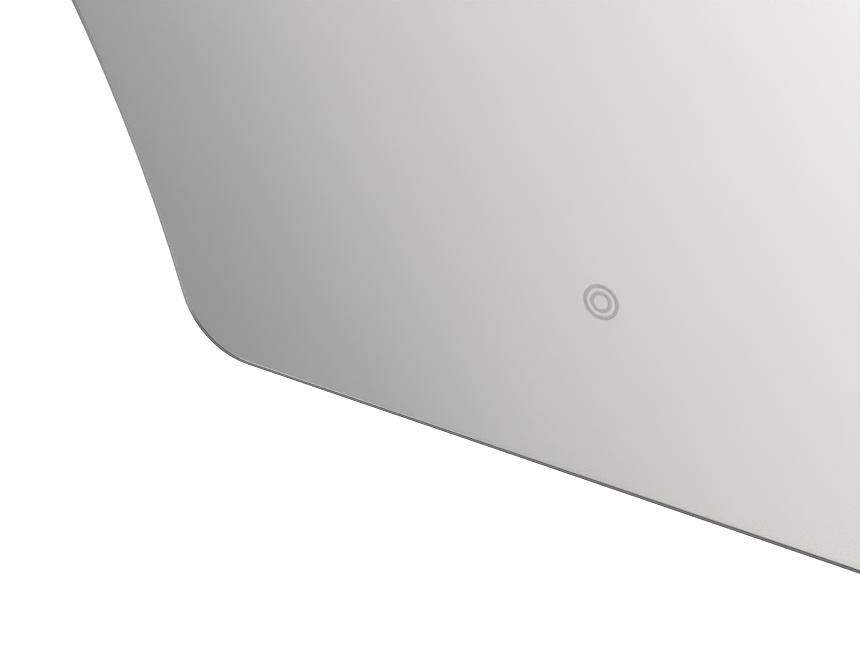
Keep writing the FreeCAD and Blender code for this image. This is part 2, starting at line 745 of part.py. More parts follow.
for label, side in (("left_hook", -1), ("right_hook", 1)):
    body = new_body(label)
    sketch = side_sketch(body, f"{side} * Sizes.hook_spacing / 2")
    leaf_rear, leaf_front = "-(Places.rail_rear - Sizes.hook_thickness)", "-Places.rail_rear"
    tongue_rear, tongue_front = "-Places.tongue_rear", "-(Places.tongue_rear + Sizes.hook_thickness)"
    step = "Places.hook_seat + Sizes.hook_thickness"
    draw_polygon(sketch, [(leaf_front, f"{step} + Sizes.hook_leaf"), (leaf_front, "Places.hook_seat"),
                          (tongue_front, "Places.hook_seat"),
                          (tongue_front, "Places.hook_seat - Sizes.hook_tongue"),
                          (tongue_rear, "Places.hook_seat - Sizes.hook_tongue"), (tongue_rear, step),
                          (leaf_rear, step), (leaf_rear, f"{step} + Sizes.hook_leaf")])
    plate = pad(sketch, "Sizes.hook_width", both_ways=True)
    doc.recompute()
    plate = round_edges(plate, folds(plate, [(leaf_front, "Places.hook_seat"), (tongue_rear, step)]),
                        "Sizes.bend_radius")
    doc.recompute()
    round_edges(plate, edges_along(plate, Vector(0, 1, 0)), "Sizes.bend_radius")
    spots = [(f"{side} * Sizes.hook_spacing / 2 + {end} * Sizes.hook_screw_spacing / 2",
              "Places.hook_screw_up") for end in (-1, 1)]
    holes(body, wall_sketch, spots, RIVET_HOLE, "Places.rail_rear - Sizes.hook_thickness",
          "Places.rail_rear")

fasteners("hook_rivets", hook_rivets, RIVET, "Places.rail_rear - Sizes.hook_thickness", rivet_end)

# The wall rail is folded forwards above its screws, so that its lip stands clear of the wall.
body = new_body("wall_rail")
sketch = side_sketch(body, "0")
plate_front = "-Sizes.wall_rail_thickness"
low = "Places.rail_rise - Sizes.wall_rail_below"
rear_folds = [("0", "Places.bend_low"), ("-Places.lip_rear", "Places.bend_high")]
front_folds = [("-Places.lip_front", "Places.bend_high - Places.bend_shift"),
               (plate_front, "Places.bend_low - Places.bend_shift")]
draw_polygon(sketch, [("0", low), *rear_folds, ("-Places.lip_rear", "Places.hook_seat"),
                      ("-Places.lip_front", "Places.hook_seat"), *front_folds, (plate_front, low)])
plate = fold_sheet(pad(sketch, "Sizes.wall_rail_length", both_ways=True),
                   [rear_folds[0], front_folds[0]], [rear_folds[1], front_folds[1]],
                   "Sizes.wall_rail_thickness")
doc.recompute()
round_edges(plate, edges_along(plate, Vector(0, 1, 0)), "Sizes.plate_corner")
sketch = wall_sketch(body, "Sizes.wall_rail_thickness")
for side in (-1, 1):
    draw_slot(sketch, f"{side} * Sizes.screw_spacing / 2", "Places.rail_rise", "Sizes.slot_length",
              "Sizes.slot_radius")
pocket(sketch, "Sizes.wall_rail_thickness")

body = new_body("wall_bumpers")
sketch = wall_sketch(body, "0")
head_band = "(Sizes.head_radius - Places.flange_middle)"
high_bumper = (f"{head_band} * cos(Sizes.bumper_angle)",
               f"Places.head_up + {head_band} * sin(Sizes.bumper_angle)")
for across, up in both_sides([("Sizes.bumper_spacing / 2", "Places.flange_middle"), high_bumper]):
    draw_circle(sketch, across, up, "Sizes.bumper_radius - Sizes.wall_gap * tan(Sizes.bumper_taper)")
feature = pad(sketch, "Sizes.wall_gap")
feature.setExpression("TaperAngle", "Sizes.bumper_taper")

# ---- Splice screws: from inside, through the splice plate into the web ----------------------------

splice_spots = [(f"{place} * Sizes.splice_screw_pitch", "-Places.channel_middle")
                for place in (-1.5, -0.5, 0.5, 1.5)]
splice_inner = "Places.web_inner + Sizes.splice_thickness"
holes(frame, plan_sketch, splice_spots, SMALL_HOLE, "Sizes.frame_inset", "Places.web_inner")
holes(splice, plan_sketch, splice_spots, SMALL_HOLE, "Places.web_inner", splice_inner)
body = new_body("splice_screws")
bars(body, plan_sketch, splice_spots, "Sizes.small_head_radius", splice_inner,
     f"{splice_inner} + Sizes.small_head")
bars(body, plan_sketch, splice_spots, "Sizes.small_screw_radius", "Sizes.frame_inset", splice_inner)

# ---- Gear box: a moulded tray that hangs by two ears from the lower cross rail --------------------


def draw_rounded(sketch, left, right, low, high, radius):
    """A rectangle with round corners."""
    r = measure(radius)
    x0, x1, z0, z1 = (measure(formula) for formula in (left, right, low, high))
    normal = Vector(0, 0, 1)
    corners = [(x1 - r, z0 + r, f"{right} - ({radius})", f"{low} + {radius}"),
               (x1 - r, z1 - r, f"{right} - ({radius})", f"{high} - ({radius})"),
               (x0 + r, z1 - r, f"{left} + {radius}", f"{high} - ({radius})"),
               (x0 + r, z0 + r, f"{left} + {radius}", f"{low} + {radius}")]
    lines = [Part.LineSegment(Vector(x0 + r, z0, 0), Vector(x1 - r, z0, 0)),
             Part.LineSegment(Vector(x1, z0 + r, 0), Vector(x1, z1 - r, 0)),
             Part.LineSegment(Vector(x1 - r, z1, 0), Vector(x0 + r, z1, 0)),
             Part.LineSegment(Vector(x0, z1 - r, 0), Vector(x0, z0 + r, 0))]
    geometry = []
    for index, (line, corner) in enumerate(zip(lines, corners)):
        start = (index - 1) * math.pi / 2
        circle = Part.Circle(Vector(corner[0], corner[1], 0), normal, r)
        geometry += [line, Part.ArcOfCircle(circle, start, start + math.pi / 2)]
    first = sketch.addGeometry(geometry, False)[0]
    for index in range(8):
        following = first + (index + 1) % 8
        sketch.addConstraint(Sketcher.Constraint("Tangent", first + index, 2, following, 1))
    for index, (x, z, across, up) in enumerate(corners):
        arc = first + 2 * index + 1
        bind(sketch, Sketcher.Constraint("Radius", arc, r), radius)
        bind(sketch, Sketcher.Constraint("DistanceX", -1, 1, arc, 3, x), across)
        bind(sketch, Sketcher.Constraint("DistanceY", -1, 1, arc, 3, z), up)


def draw_box_outline(sketch, inset):
    """The gear box's outline, moved inwards."""
    draw_rounded(sketch, f"Places.box_left + {inset}", f"Places.box_right - ({inset})",
                 f"Places.box_rise + {inset}", f"Places.box_top - ({inset})", f"Sizes.box_corner - ({inset})")


def box_layer(body, outer, rear, front, inner=None):
    """A plate or ring of the gear box's outline."""
    sketch = wall_sketch(body, rear)
    draw_box_outline(sketch, outer)
    if inner:
        draw_box_outline(sketch, inner)
    pad(sketch, f"{front} - ({rear})")


def box_cavity(body, inset, rear, front):
    sketch = wall_sketch(body, front)
    draw_box_outline(sketch, inset)
    pocket(sketch, f"{front} - ({rear})")


post_low, post_high = "Places.box_rise + Sizes.post_inset", "Places.box_top - Sizes.post_inset"
posts = [(across, up) for up in (post_low, post_high)
         for across in ("Places.box_left + Sizes.post_inset", "Places.box_right - Sizes.post_inset")]
thick_wall = "Sizes.box_wall + Sizes.box_ledge"
lid_edge = "Sizes.box_wall + Sizes.lid_play"
sensor_lead_end = "Sizes.symbol_rise + Sizes.sensor_lead_lift"
gland_axis = [("-Places.gland_forward", "Places.gland_up")]
gland_hole = "Sizes.gland_thread_radius + Sizes.gland_play"

body = new_body("gear_box")
box_layer(body, "0", "Places.box_rear", "Places.frame_front")
for ear, up in ear_screws:
    sketch = wall_sketch(body, "Places.box_rear - Sizes.box_ear_thickness")
    draw_rectangle(sketch, f"{ear} - Sizes.box_ear_width / 2", f"{ear} + Sizes.box_ear_width / 2",
                   "Places.box_top - Sizes.box_wall", f"{up} + Sizes.box_ear_width / 2")
    pad(sketch, "Sizes.box_ear_thickness")
box_cavity(body, "Sizes.box_wall", "Places.box_rear", "Places.post_rear")
box_cavity(body, thick_wall, "Places.post_rear", "Places.box_floor")
bars(body, wall_sketch, posts, "Sizes.post_radius", "Places.post_rear", "Places.box_floor")
holes(body, wall_sketch, posts, SMALL_HOLE, "Places.post_rear", "Places.post_rear + Sizes.post_drill")
holes(body, wall_sketch, ear_screws, SCREW_HOLE, "Places.box_rear - Sizes.box_ear_thickness",
      "Places.box_rear")
holes(body, side_sketch, gland_axis, gland_hole, "Places.box_left", f"Places.box_left + {thick_wall}")
holes(body, side_sketch, [("-Places.lead_forward", sensor_lead_end)], LEAD_HOLE,
      "Places.box_left", f"Places.box_left + {thick_wall}")
holes(body, plan_sketch, [("Places.demister_lead_x", "-Places.lead_forward")], LEAD_HOLE,
      f"Places.box_top - ({thick_wall})", "Places.box_top")
holes(body, plan_sketch, [("Places.led_lead_x", "-Places.channel_middle")], LEAD_HOLE,
      "Places.box_rise", f"Places.box_rise + {thick_wall}")

body = new_body("gear_box_lid")
box_layer(body, lid_edge, "Places.box_rear", "Places.lid_front")
holes(body, wall_sketch, posts, SMALL_HOLE, "Places.box_rear", "Places.lid_front")

body = new_body("lid_gasket")
box_layer(body, lid_edge, "Places.lid_front", "Places.post_rear", thick_wall)

fasteners("lid_screws", posts, SMALL_SCREW, "Places.box_rear",
          "Places.post_rear + Sizes.post_drill - Sizes.screw_tip")
fasteners("gear_box_screws", ear_screws, SCREW, "Places.box_rear - Sizes.box_ear_thickness",
          "Places.rail_web_front + Sizes.screw_tip")

body = new_body("gear_box_tape")
sketch = wall_sketch(body, "Places.frame_front")
for side in (-1, 1):
    middle = f"Places.box_middle_x + {side} * Sizes.box_ear_spacing / 2"
    draw_rectangle(sketch, f"{middle} - Sizes.box_ear_width / 2", f"{middle} + Sizes.box_ear_width / 2",
                   post_low, post_high)
pad(sketch, "Sizes.tape_thickness")

body = new_body("led_driver")
driver_low = "Places.box_rise + Sizes.driver_rise"
driver_top = f"{driver_low} + Sizes.driver_height"
sketch = wall_sketch(body, "Places.box_floor - Sizes.driver_depth")
draw_rectangle(sketch, "Places.box_middle_x - Sizes.driver_length / 2",
               "Places.box_middle_x + Sizes.driver_length / 2", driver_low, driver_top)
block = pad(sketch, "Sizes.driver_depth")
doc.recompute()
bevel_edges(block, edges_along(block, Vector(0, 1, 0)), "Sizes.driver_chamfer")

# The terminal block has one screw well and one wire way for each pole.
body = new_body("terminal_block")
block_left = "Places.box_left + Sizes.block_left"
block_low = f"{driver_top} + Sizes.block_gap"
block_top = f"{block_low} + Sizes.block_height"
block_rear = "Places.box_floor - Sizes.block_depth"
sketch = wall_sketch(body, block_rear)
draw_rectangle(sketch, block_left, f"{block_left} + 3 * Sizes.block_pitch", block_low, block_top)
pad(sketch, "Sizes.block_depth")
poles = [f"{block_left} + {pole} * Sizes.block_pitch" for pole in (0.5, 1.5, 2.5)]
wells = [(pole, up) for pole in poles
         for up in (f"{block_low} + Sizes.well_inset", f"{block_top} - Sizes.well_inset")]
holes(body, wall_sketch, wells, "Sizes.block_screw_radius + Sizes.hole_play", block_rear,
      f"{block_rear} + Sizes.block_depth / 2")
holes(body, plan_sketch, [(pole, f"-({block_rear} + Sizes.wire_depth)") for pole in poles],
      "Sizes.wire_radius", block_low, block_top)

body = new_body("block_screws")
bars(body, wall_sketch, wells, "Sizes.block_screw_radius", f"{block_rear} + Sizes.hole_play",
     f"{block_rear} + Sizes.block_depth / 2")

# ---- Cable gland in the gear box's left wall, for the mains lead ----------------------------------


def draw_hexagon(sketch, centre, flats):
    """A hexagon with one pair of flats parallel to the sketch's second axis."""
    across, up = centre
    reach = f"({flats}) / 2 / cos(30)"
    angles = [30 + 60 * corner for corner in range(6)]
    draw_polygon(sketch, [(f"{across} + {reach} * cos({angle})", f"{up} + {reach} * sin({angle})")
                          for angle in angles])


def hexagon_bar(body, start, end):
    sketch = side_sketch(body, start)
    draw_hexagon(sketch, gland_axis[0], "Sizes.gland_flats")
    return pad(sketch, f"{end} - ({start})")


nut_inner = "Places.gland_outer - Sizes.gland_play"
nut_outer = f"{nut_inner} - Sizes.gland_nut_length"
thread_outer = f"{nut_outer} + Sizes.gland_dome + Sizes.gland_play"
locknut_start = f"Places.box_left + {thick_wall}"
locknut_end = f"{locknut_start} + Sizes.locknut_thickness"
seal_seat = "Sizes.seal_bore + Sizes.seal_wall + Sizes.hole_play"
thread_inner = f"{locknut_end} + Sizes.thread_end"

body = new_body("gland_body")
hexagon_bar(body, "Places.gland_outer", "Places.box_left")
bars(body, side_sketch, gland_axis, "Sizes.gland_thread_radius", thread_outer, thread_inner)
holes(body, side_sketch, gland_axis, "Sizes.gland_bore", thread_outer, thread_inner)
holes(body, side_sketch, gland_axis, seal_seat, thread_outer, f"{thread_outer} + Sizes.seal_length")

body = new_body("gland_seal")
bars(body, side_sketch, gland_axis, "Sizes.seal_bore + Sizes.seal_wall", thread_outer,
     f"{thread_outer} + Sizes.seal_length")
holes(body, side_sketch, gland_axis, "Sizes.seal_bore", thread_outer, f"{thread_outer} + Sizes.seal_length")

body = new_body("gland_nut")
nut = hexagon_bar(body, nut_outer, nut_inner)
doc.recompute()
bevel_edges(nut, flat_faces(nut, Vector(1, 0, 0)), "Sizes.gland_bevel")
holes(body, side_sketch, gland_axis, gland_hole, f"{nut_outer} + Sizes.gland_dome", nut_inner)
holes(body, side_sketch, gland_axis, "Sizes.gland_bore", nut_outer, f"{nut_outer} + Sizes.gland_dome")

body = new_body("gland_locknut")
hexagon_bar(body, locknut_start, locknut_end)
holes(body, side_sketch, gland_axis, gland_hole, locknut_start, locknut_end)

# ---- Touch sensor behind the symbol ---------------------------------------------------------------

symbol = [("0", "Sizes.symbol_rise")]
cup_inner = "Sizes.sensor_radius - Sizes.sensor_wall"

body = new_body("sensor_housing")
bars(body, wall_sketch, symbol, "Sizes.sensor_radius", "Places.sensor_rear", "Places.silver_rear")
holes(body, wall_sketch, symbol, cup_inner, "Places.board_rear", "Places.silver_rear")
holes(body, wall_sketch, symbol, f"{cup_inner} - Sizes.sensor_ledge",
      "Places.sensor_rear + Sizes.sensor_wall", "Places.board_rear")
holes(body, side_sketch, [("-Places.lead_forward", "Sizes.symbol_rise")], LEAD_HOLE,
      f"{cup_inner} - Sizes.sensor_ledge", "Sizes.sensor_radius")

body = new_body("sensor_board")
bars(body, wall_sketch, symbol, "Places.lens_radius", "Places.board_rear", "Places.board_front")

body = new_body("touch_lens")
bars(body, wall_sketch, symbol, "Places.lens_radius", "Places.board_front", "Places.silver_rear")
holes(body, wall_sketch, symbol, "Places.lens_radius - Sizes.lens_skirt", "Places.board_front",
      "Places.lens_rear")

# ---- Demister pad, stuck to the film in the middle of the mirror ----------------------------------

body = new_body("demister_pad")
sketch = wall_sketch(body, "Places.film_rear - Sizes.pad_thickness")
draw_rounded(sketch, "-Sizes.pad_width / 2", "Sizes.pad_width / 2", "Places.pad_rise",
             "Places.pad_rise + Sizes.pad_height", "Sizes.pad_corner")
pad(sketch, "Sizes.pad_thickness")

body = new_body("demister_terminal")
terminal_low = "Places.pad_rise - Sizes.pad_terminal_height"
terminal_rear = "Places.film_rear - Sizes.pad_terminal_depth"
sketch = wall_sketch(body, terminal_rear)
draw_rectangle(sketch, "Places.pad_terminal_x - Sizes.pad_terminal_width / 2",
               "Places.pad_terminal_x + Sizes.pad_terminal_width / 2", terminal_low, "Places.pad_rise")
pad(sketch, "Sizes.pad_terminal_depth")
holes(body, plan_sketch, [("Places.pad_terminal_x", "-Places.lead_forward")], LEAD_HOLE, terminal_low,
      f"{terminal_low} + Sizes.lead_entry")

# ---- Low-voltage leads, each a run of straights and round bends in one plane ----------------------


def lead_path(points):
    """A wire of straight runs joined by bends as wide as the runs allow."""
    edges = []
    here = points[0]
    for before, corner, after in zip(points, points[1:], points[2:]):
        inward, outward = (before - corner).normalize(), (after - corner).normalize()
        reach = 0.45 * min(before.distanceToPoint(corner), after.distanceToPoint(corner))
        half_turn = (math.pi - inward.getAngle(outward)) / 2
        radius = reach / math.tan(half_turn)
        towards = (inward + outward).normalize()
        middle = corner + towards * (radius / math.cos(half_turn) - radius)
        start, end = corner + inward * reach, corner + outward * reach
        edges += [Part.makeLine(here, start), Part.Arc(start, middle, end).toShape()]
        here = end
    edges.append(Part.makeLine(here, points[-1]))
    return Part.Wire(edges)


def build_lead(label, forward, spots):
    """A round lead along spots (across, up) in a plane parallel to the wall."""
    points = [Vector(measure(across), -measure(forward), measure(up)) for across, up in spots]
    path = lead_path(points)
    circle = Part.makeCircle(sizes.lead_radius, points[0], points[1] - points[0])
    tube = path.makePipeShell([Part.Wire([circle])], True, False)
    expected = math.pi * sizes.lead_radius ** 2 * path.Length
    if abs(tube.Volume / expected - 1) > 0.01:
        raise ValueError(f"{label} is not swept along its whole path")
    new_feature(label, tube)


sensor_run = "(Places.box_left - Sizes.sensor_radius) / 3"
pad_run = f"({terminal_low} - Places.box_top) / 3"
build_lead("led_lead", "Places.channel_middle", [
    ("Places.led_lead_x", "Places.box_rise + Sizes.box_wall"),
    ("Places.led_lead_x", "Places.box_rise - Sizes.lead_straight"),
    ("Places.led_lead_web_x", "Sizes.frame_inset + Sizes.lead_rise"),
    ("Places.led_lead_web_x", "Sizes.frame_inset + Sizes.hole_play")])
build_lead("sensor_lead", "Places.lead_forward", [
    (cup_inner, "Sizes.symbol_rise"),
    (f"Sizes.sensor_radius + {sensor_run}", "Sizes.symbol_rise"),
    (f"Places.box_left - {sensor_run}", sensor_lead_end),
    ("Places.box_left + Sizes.box_wall", sensor_lead_end)])
build_lead("demister_lead", "Places.lead_forward", [
    ("Places.demister_lead_x", "Places.box_top - Sizes.box_wall"),
    ("Places.demister_lead_x", f"Places.box_top + {pad_run}"),
    ("Places.pad_terminal_x", f"{terminal_low} - {pad_run}"),
    ("Places.pad_terminal_x", f"{terminal_low} + Sizes.lead_entry")])

# The grommet lines the hole where the lead passes through the frame's web.
web_axis = [("Places.led_lead_web_x", "-Places.channel_middle")]
grommet_radius = f"{LEAD_HOLE} + Sizes.grommet_wall"
holes(frame, plan_sketch, web_axis, f"{grommet_radius} + Sizes.hole_play", "Sizes.frame_inset",
      "Places.web_inner")
body = new_body("frame_grommet")
bars(body, plan_sketch, web_axis, grommet_radius, "Sizes.frame_inset", "Places.web_inner")
bars(body, plan_sketch, web_axis, f"{grommet_radius} + Sizes.grommet_lip", "Places.web_inner",
     "Places.web_inner + Sizes.grommet_flange")
holes(body, plan_sketch, web_axis, LEAD_HOLE, "Sizes.frame_inset", "Places.web_inner + Sizes.grommet_flange")

# Two clips hold the demister lead against the film.
body = new_body("lead_clips")
clip_reach = f"{LEAD_HOLE} + Sizes.clip_wall"
for across, start in (("Places.demister_lead_x", "Places.box_top + Sizes.clip_gap"),
                      ("Places.pad_terminal_x", f"{terminal_low} - Sizes.clip_gap - Sizes.clip_length")):
    sketch = plan_sketch(body, start)
    film, foot = "-Places.film_rear", "-(Places.film_rear - Sizes.clip_foot)"
    back = f"-(Places.lead_forward - ({clip_reach}))"
    left, right = f"{across} - ({clip_reach})", f"{across} + {clip_reach}"
    draw_polygon(sketch, [(f"{left} - Sizes.clip_wing", film), (f"{right} + Sizes.clip_wing", film),
                          (f"{right} + Sizes.clip_wing", foot), (right, foot), (right, back),
                          (left, back), (left, foot), (f"{left} - Sizes.clip_wing", foot)])
    draw_circle(sketch, across, "-Places.lead_forward", LEAD_HOLE)
    pad(sketch, "Sizes.clip_length")

# ---- Check the model and write each sub-part's file -----------------------------------------------

doc.recompute()

for item in doc.Objects:
    if "Invalid" in item.State or "Error" in item.State:
        raise ValueError(f"{item.Name} of {item.Label} has failed: {item.State}")
for feature, before in cuts:
    if feature.Shape.Volume > before.Shape.Volume - 1e-3:
        raise ValueError(f"{feature.Name} of {feature.getParentGeoFeatureGroup().Label} cuts nothing")
os.makedirs("parts", exist_ok=True)
for part in parts:
    shape = part.Shape
    if shape.isNull() or not shape.isValid():
        raise ValueError(f"{part.Label} has no valid shape")
    shape.exportStep(f"parts/{part.Label}.step")
    print(f"{part.Label}: {len(shape.Solids)} solids, {shape.Volume / 1000:.2f} cm3")
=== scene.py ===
# %% [markdown]
# # A back-lit bathroom mirror
#
# The object is a frameless wall mirror with a straight foot, two hollow flanks and one round head.
# Its glass stands forward of a bent aluminium frame, which also carries the light strip, and the frame
# hangs by two hooks on a rail on the wall. The engineering model gives every part its size and place.
# This lesson gives the parts their surfaces, and puts finer pieces where the plain solids would show.

# %% Load the engineering model
import math

import bmesh
import bpy
from mathutils import Euler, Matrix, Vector


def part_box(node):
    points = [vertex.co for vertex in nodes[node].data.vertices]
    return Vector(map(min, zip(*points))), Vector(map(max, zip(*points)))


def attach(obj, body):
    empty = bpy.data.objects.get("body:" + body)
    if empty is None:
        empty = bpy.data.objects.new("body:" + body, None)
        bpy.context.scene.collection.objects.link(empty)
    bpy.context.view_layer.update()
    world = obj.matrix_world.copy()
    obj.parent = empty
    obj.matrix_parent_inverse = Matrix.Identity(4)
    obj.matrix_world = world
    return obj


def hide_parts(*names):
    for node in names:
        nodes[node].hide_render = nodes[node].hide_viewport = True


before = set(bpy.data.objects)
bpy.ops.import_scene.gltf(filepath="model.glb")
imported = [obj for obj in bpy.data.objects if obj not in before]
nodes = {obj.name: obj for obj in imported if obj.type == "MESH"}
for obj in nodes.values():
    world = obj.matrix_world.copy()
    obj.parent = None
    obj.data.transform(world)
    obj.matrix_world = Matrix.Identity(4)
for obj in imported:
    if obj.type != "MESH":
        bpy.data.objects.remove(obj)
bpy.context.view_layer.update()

# %% [markdown]
# ## Units, colours and nodes
#
# Makers give sizes in millimetres and colours as sRGB codes. Blender's shaders want metres and linear
# colour, so two short functions turn one into the other.

# %% Units and colours
# One millimetre in Blender's metres.
MM = 0.001


def srgb(code):
    """A linear colour with alpha from a hex code such as "C8C8C4"."""
    channels = [int(code[i:i + 2], 16) / 255 for i in (0, 2, 4)]
    return tuple(c / 12.92 if c < 0.04045 else ((c + 0.055) / 1.055) ** 2.4 for c in channels) + (1.0,)


def per_mm(size):
    """The texture scale at which one repeat is about size millimetres."""
    return 1 / (size * MM)


print("one repeat in 2 mm is a scale of", per_mm(2.0))

# %% [markdown]
# A finish is a small graph of nodes. One function adds a node with its settings, its ramp stops and
# its inputs, where an input may be a value, a socket, or a node, which stands for its first output.
# So a whole material reads as a short list. All patterns use object coordinates: the parts sit where
# they were modelled, so one unit is one metre and a pattern keeps its real size on every part.

# %% A node in one call


def add(tree, kind, inputs=None, stops=(), **settings):
    """Add a node with its settings, its ramp stops of (position, hex code), and its inputs."""
    node = tree.nodes.new(kind)
    for name, value in settings.items():
        setattr(node, name, value)
    for number, (position, code) in enumerate(stops):
        elements = node.color_ramp.elements
        element = elements[number] if number < len(elements) else elements.new(position)
        element.position = position
        element.color = srgb(code)
    for name, value in (inputs or {}).items():
        if isinstance(value, bpy.types.Node):
            value = value.outputs[0]
        if isinstance(value, bpy.types.NodeSocket):
            tree.links.new(value, node.inputs[name])
        else:
            node.inputs[name].default_value = value
    return node


def start_finish(name):
    """A new material, its empty node tree, and the place of each point on the part."""
    material = bpy.data.materials.new(name)
    material.use_nodes = True
    tree = material.node_tree
    tree.nodes.clear()
    return material, tree, add(tree, "ShaderNodeTexCoord").outputs["Object"]


def dress(material, *names):
    """Give a material to parts of the engineering model."""
    for name in names:
        for slot in nodes[name].material_slots:
            slot.material = material
    print(material.name, "on", ", ".join(names))


print("the glass has", len(nodes["mirror_glass"].material_slots), "material slot to dress")

# %% [markdown]
# ## Glass
#
# The mirror is 3 mm float glass with polished edges. It could be a plain mirror material on the CAD
# part, but then the thin dark line along the foot would be missing: on the real mirror that line is
# the polished edge, seen through the face, where the view is turned up to the dim part of the studio.
# So the glass is a real slab that refracts, with a separate silver layer behind it.

# %% Float glass
# Clear float glass is as good as colourless through 3 mm, and mirror smooth.
glass, tree, place = start_finish("clear_float_glass")
# Drawn glass has very faint waves, some 120 mm long, that only show where a straight line is reflected.
waves = add(tree, "ShaderNodeTexNoise", {"Vector": place, "Scale": per_mm(120.0), "Detail": 1.0})
ripple = add(tree, "ShaderNodeBump", {"Height": waves, "Distance": 0.004 * MM})
shader = add(tree, "ShaderNodeBsdfPrincipled", {
    "Base Color": srgb("FEFEFE"), "Roughness": 0.0, "IOR": 1.52, "Transmission Weight": 1.0,
    "Normal": ripple})
add(tree, "ShaderNodeOutputMaterial", {"Surface": shader})
print(glass.name, "has", len(tree.nodes), "nodes")

# %% [markdown]
# The engineering model has silver and glass in contact. Two surfaces in one place confuse a renderer,
# so the slab is a copy of the CAD part whose back is moved off the silver by a hair. The two functions
# here serve the pieces below too: one copies a part, the other gives a piece its body and materials
# and hides the part it stands for.

# %% Glass slab
# Corners nearer than this are one corner.
WELD = 0.001 * MM


def copy_part(name, label):
    """A new piece that starts as a copy of one part of the engineering model, with shared corners."""
    mesh = bpy.data.meshes.new(label)
    build = bmesh.new()
    build.from_mesh(nodes[name].data)
    bmesh.ops.remove_doubles(build, verts=build.verts, dist=WELD)
    build.to_mesh(mesh)
    build.free()
    # The shading that came with the part doesn't fit a piece whose shape will change.
    if "custom_normal" in mesh.attributes:
        mesh.attributes.remove(mesh.attributes["custom_normal"])
    piece = bpy.data.objects.new(label, mesh)
    bpy.context.scene.collection.objects.link(piece)
    return piece


def settle(piece, body, slot, replaced, *materials):
    """Finish a piece: its body, the part it stands for and its materials. The slot is not used."""
    piece.data.materials.clear()
    for material in materials:
        piece.data.materials.append(material)
    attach(piece, body)
    if replaced:
        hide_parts(replaced)
    print(piece.name, "has", len(piece.data.vertices), "vertices")


# The hair between glass and silver.
GLASS_GAP = 0.02 * MM
# The polished edge's small arris meets the face at more than this, so it stays a crisp line.
ARRIS_ANGLE = math.radians(20)
glass_low, glass_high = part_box("mirror_glass")
face, glass_back = glass_low.y, glass_high.y
slab = copy_part("mirror_glass", "glass_slab")
for vertex in slab.data.vertices:
    vertex.co.y = min(vertex.co.y, glass_back - GLASS_GAP)
slab.data.shade_smooth()
slab.data.set_sharp_from_angle(angle=ARRIS_ANGLE)
settle(slab, "mirror", "float_glass", "mirror_glass", glass)
print("glass", round((glass_back - face) / MM, 2), "mm thick, face at", round(face / MM, 1), "mm")

# %% [markdown]
# ## Silver
#
# The reflecting layer is chemically deposited silver. It is bright only towards the glass: its back is
# covered by copper-free protective paint, a dull grey. One CAD part stands for both, so the piece that
# replaces it has two materials, and each face takes one by the way it looks.

# %% Silver and paint
# Silver under glass is neutral and loses a few percent; the layer takes its flatness from the glass.
silver, tree, place = start_finish("silver_under_glass")
cloud = add(tree, "ShaderNodeTexNoise", {"Vector": place, "Scale": per_mm(60.0), "Detail": 2.0})
tone = add(tree, "ShaderNodeValToRGB", {"Fac": cloud}, [(0.3, "F6F6F5"), (0.7, "F8F8F7")])
shader = add(tree, "ShaderNodeBsdfPrincipled", {"Base Color": tone, "Metallic": 1.0, "Roughness": 0.0})
add(tree, "ShaderNodeOutputMaterial", {"Surface": shader})

# The paint is curtain-coated: even, semi-matt, with a faint orange peel some 2 mm across.
paint, tree, place = start_finish("grey_mirror_back_paint")
peel = add(tree, "ShaderNodeTexNoise", {"Vector": place, "Scale": per_mm(2.0), "Detail": 2.0})
tone = add(tree, "ShaderNodeValToRGB", {"Fac": peel}, [(0.3, "6E7274"), (0.7, "767A7C")])
relief = add(tree, "ShaderNodeBump", {"Height": peel, "Distance": 0.02 * MM, "Strength": 0.5})
shader = add(tree, "ShaderNodeBsdfPrincipled", {"Base Color": tone, "Roughness": 0.5, "Normal": relief})
add(tree, "ShaderNodeOutputMaterial", {"Surface": shader})

# A face whose normal points forward by at least this much is silver, and the rest is paint.
FACES_GLASS = 0.95
layer = copy_part("silver_backing", "silver_layer")
settle(layer, "mirror", "silvering", "silver_backing", silver, paint)
for polygon in layer.data.polygons:
    polygon.material_index = 0 if polygon.normal.y < -FACES_GLASS else 1
print(sum(polygon.material_index == 0 for polygon in layer.data.polygons), "faces are silver")

# %% [markdown]
# ## Softened edges
#
# Sheet metal, extrusions and mouldings never have perfectly sharp edges, and a sharp CAD edge shows as
# a line without light. A bevel modifier on a copy of the part gives each real edge its small radius.
# Before it, coplanar triangles are joined, so that the bevel finds true edges only. The bevel takes
# material away, so the piece stays inside its CAD part.

# %% A part with soft edges
# Above the first angle an edge is rounded, and below the second two triangles are one flat face.
EDGE_ANGLE = math.radians(32)
FLAT_ANGLE = math.radians(0.5)


def soften(name, radius, slot, material, body="mirror"):
    """Replace a part by a copy whose sharp edges are rounded by a radius in millimetres."""
    piece = copy_part(name, name + "_soft")
    build = bmesh.new()
    build.from_mesh(piece.data)
    bmesh.ops.dissolve_limit(build, angle_limit=FLAT_ANGLE, verts=build.verts, edges=build.edges)
    build.to_mesh(piece.data)
    build.free()
    piece.data.shade_smooth()
    piece.data.set_sharp_from_angle(angle=EDGE_ANGLE)
    bevel = piece.modifiers.new("edges", "BEVEL")
    bevel.width = radius * MM
    bevel.segments = 2
    bevel.limit_method = "ANGLE"
    bevel.angle_limit = EDGE_ANGLE
    bevel.harden_normals = True
    solid = piece.evaluated_get(bpy.context.evaluated_depsgraph_get())
    mesh = bpy.data.meshes.new_from_object(solid)
    piece.modifiers.clear()
    piece.data = mesh
    settle(piece, body, slot, name, material)


print("edges sharper than", round(math.degrees(EDGE_ANGLE)), "degrees are rounded")

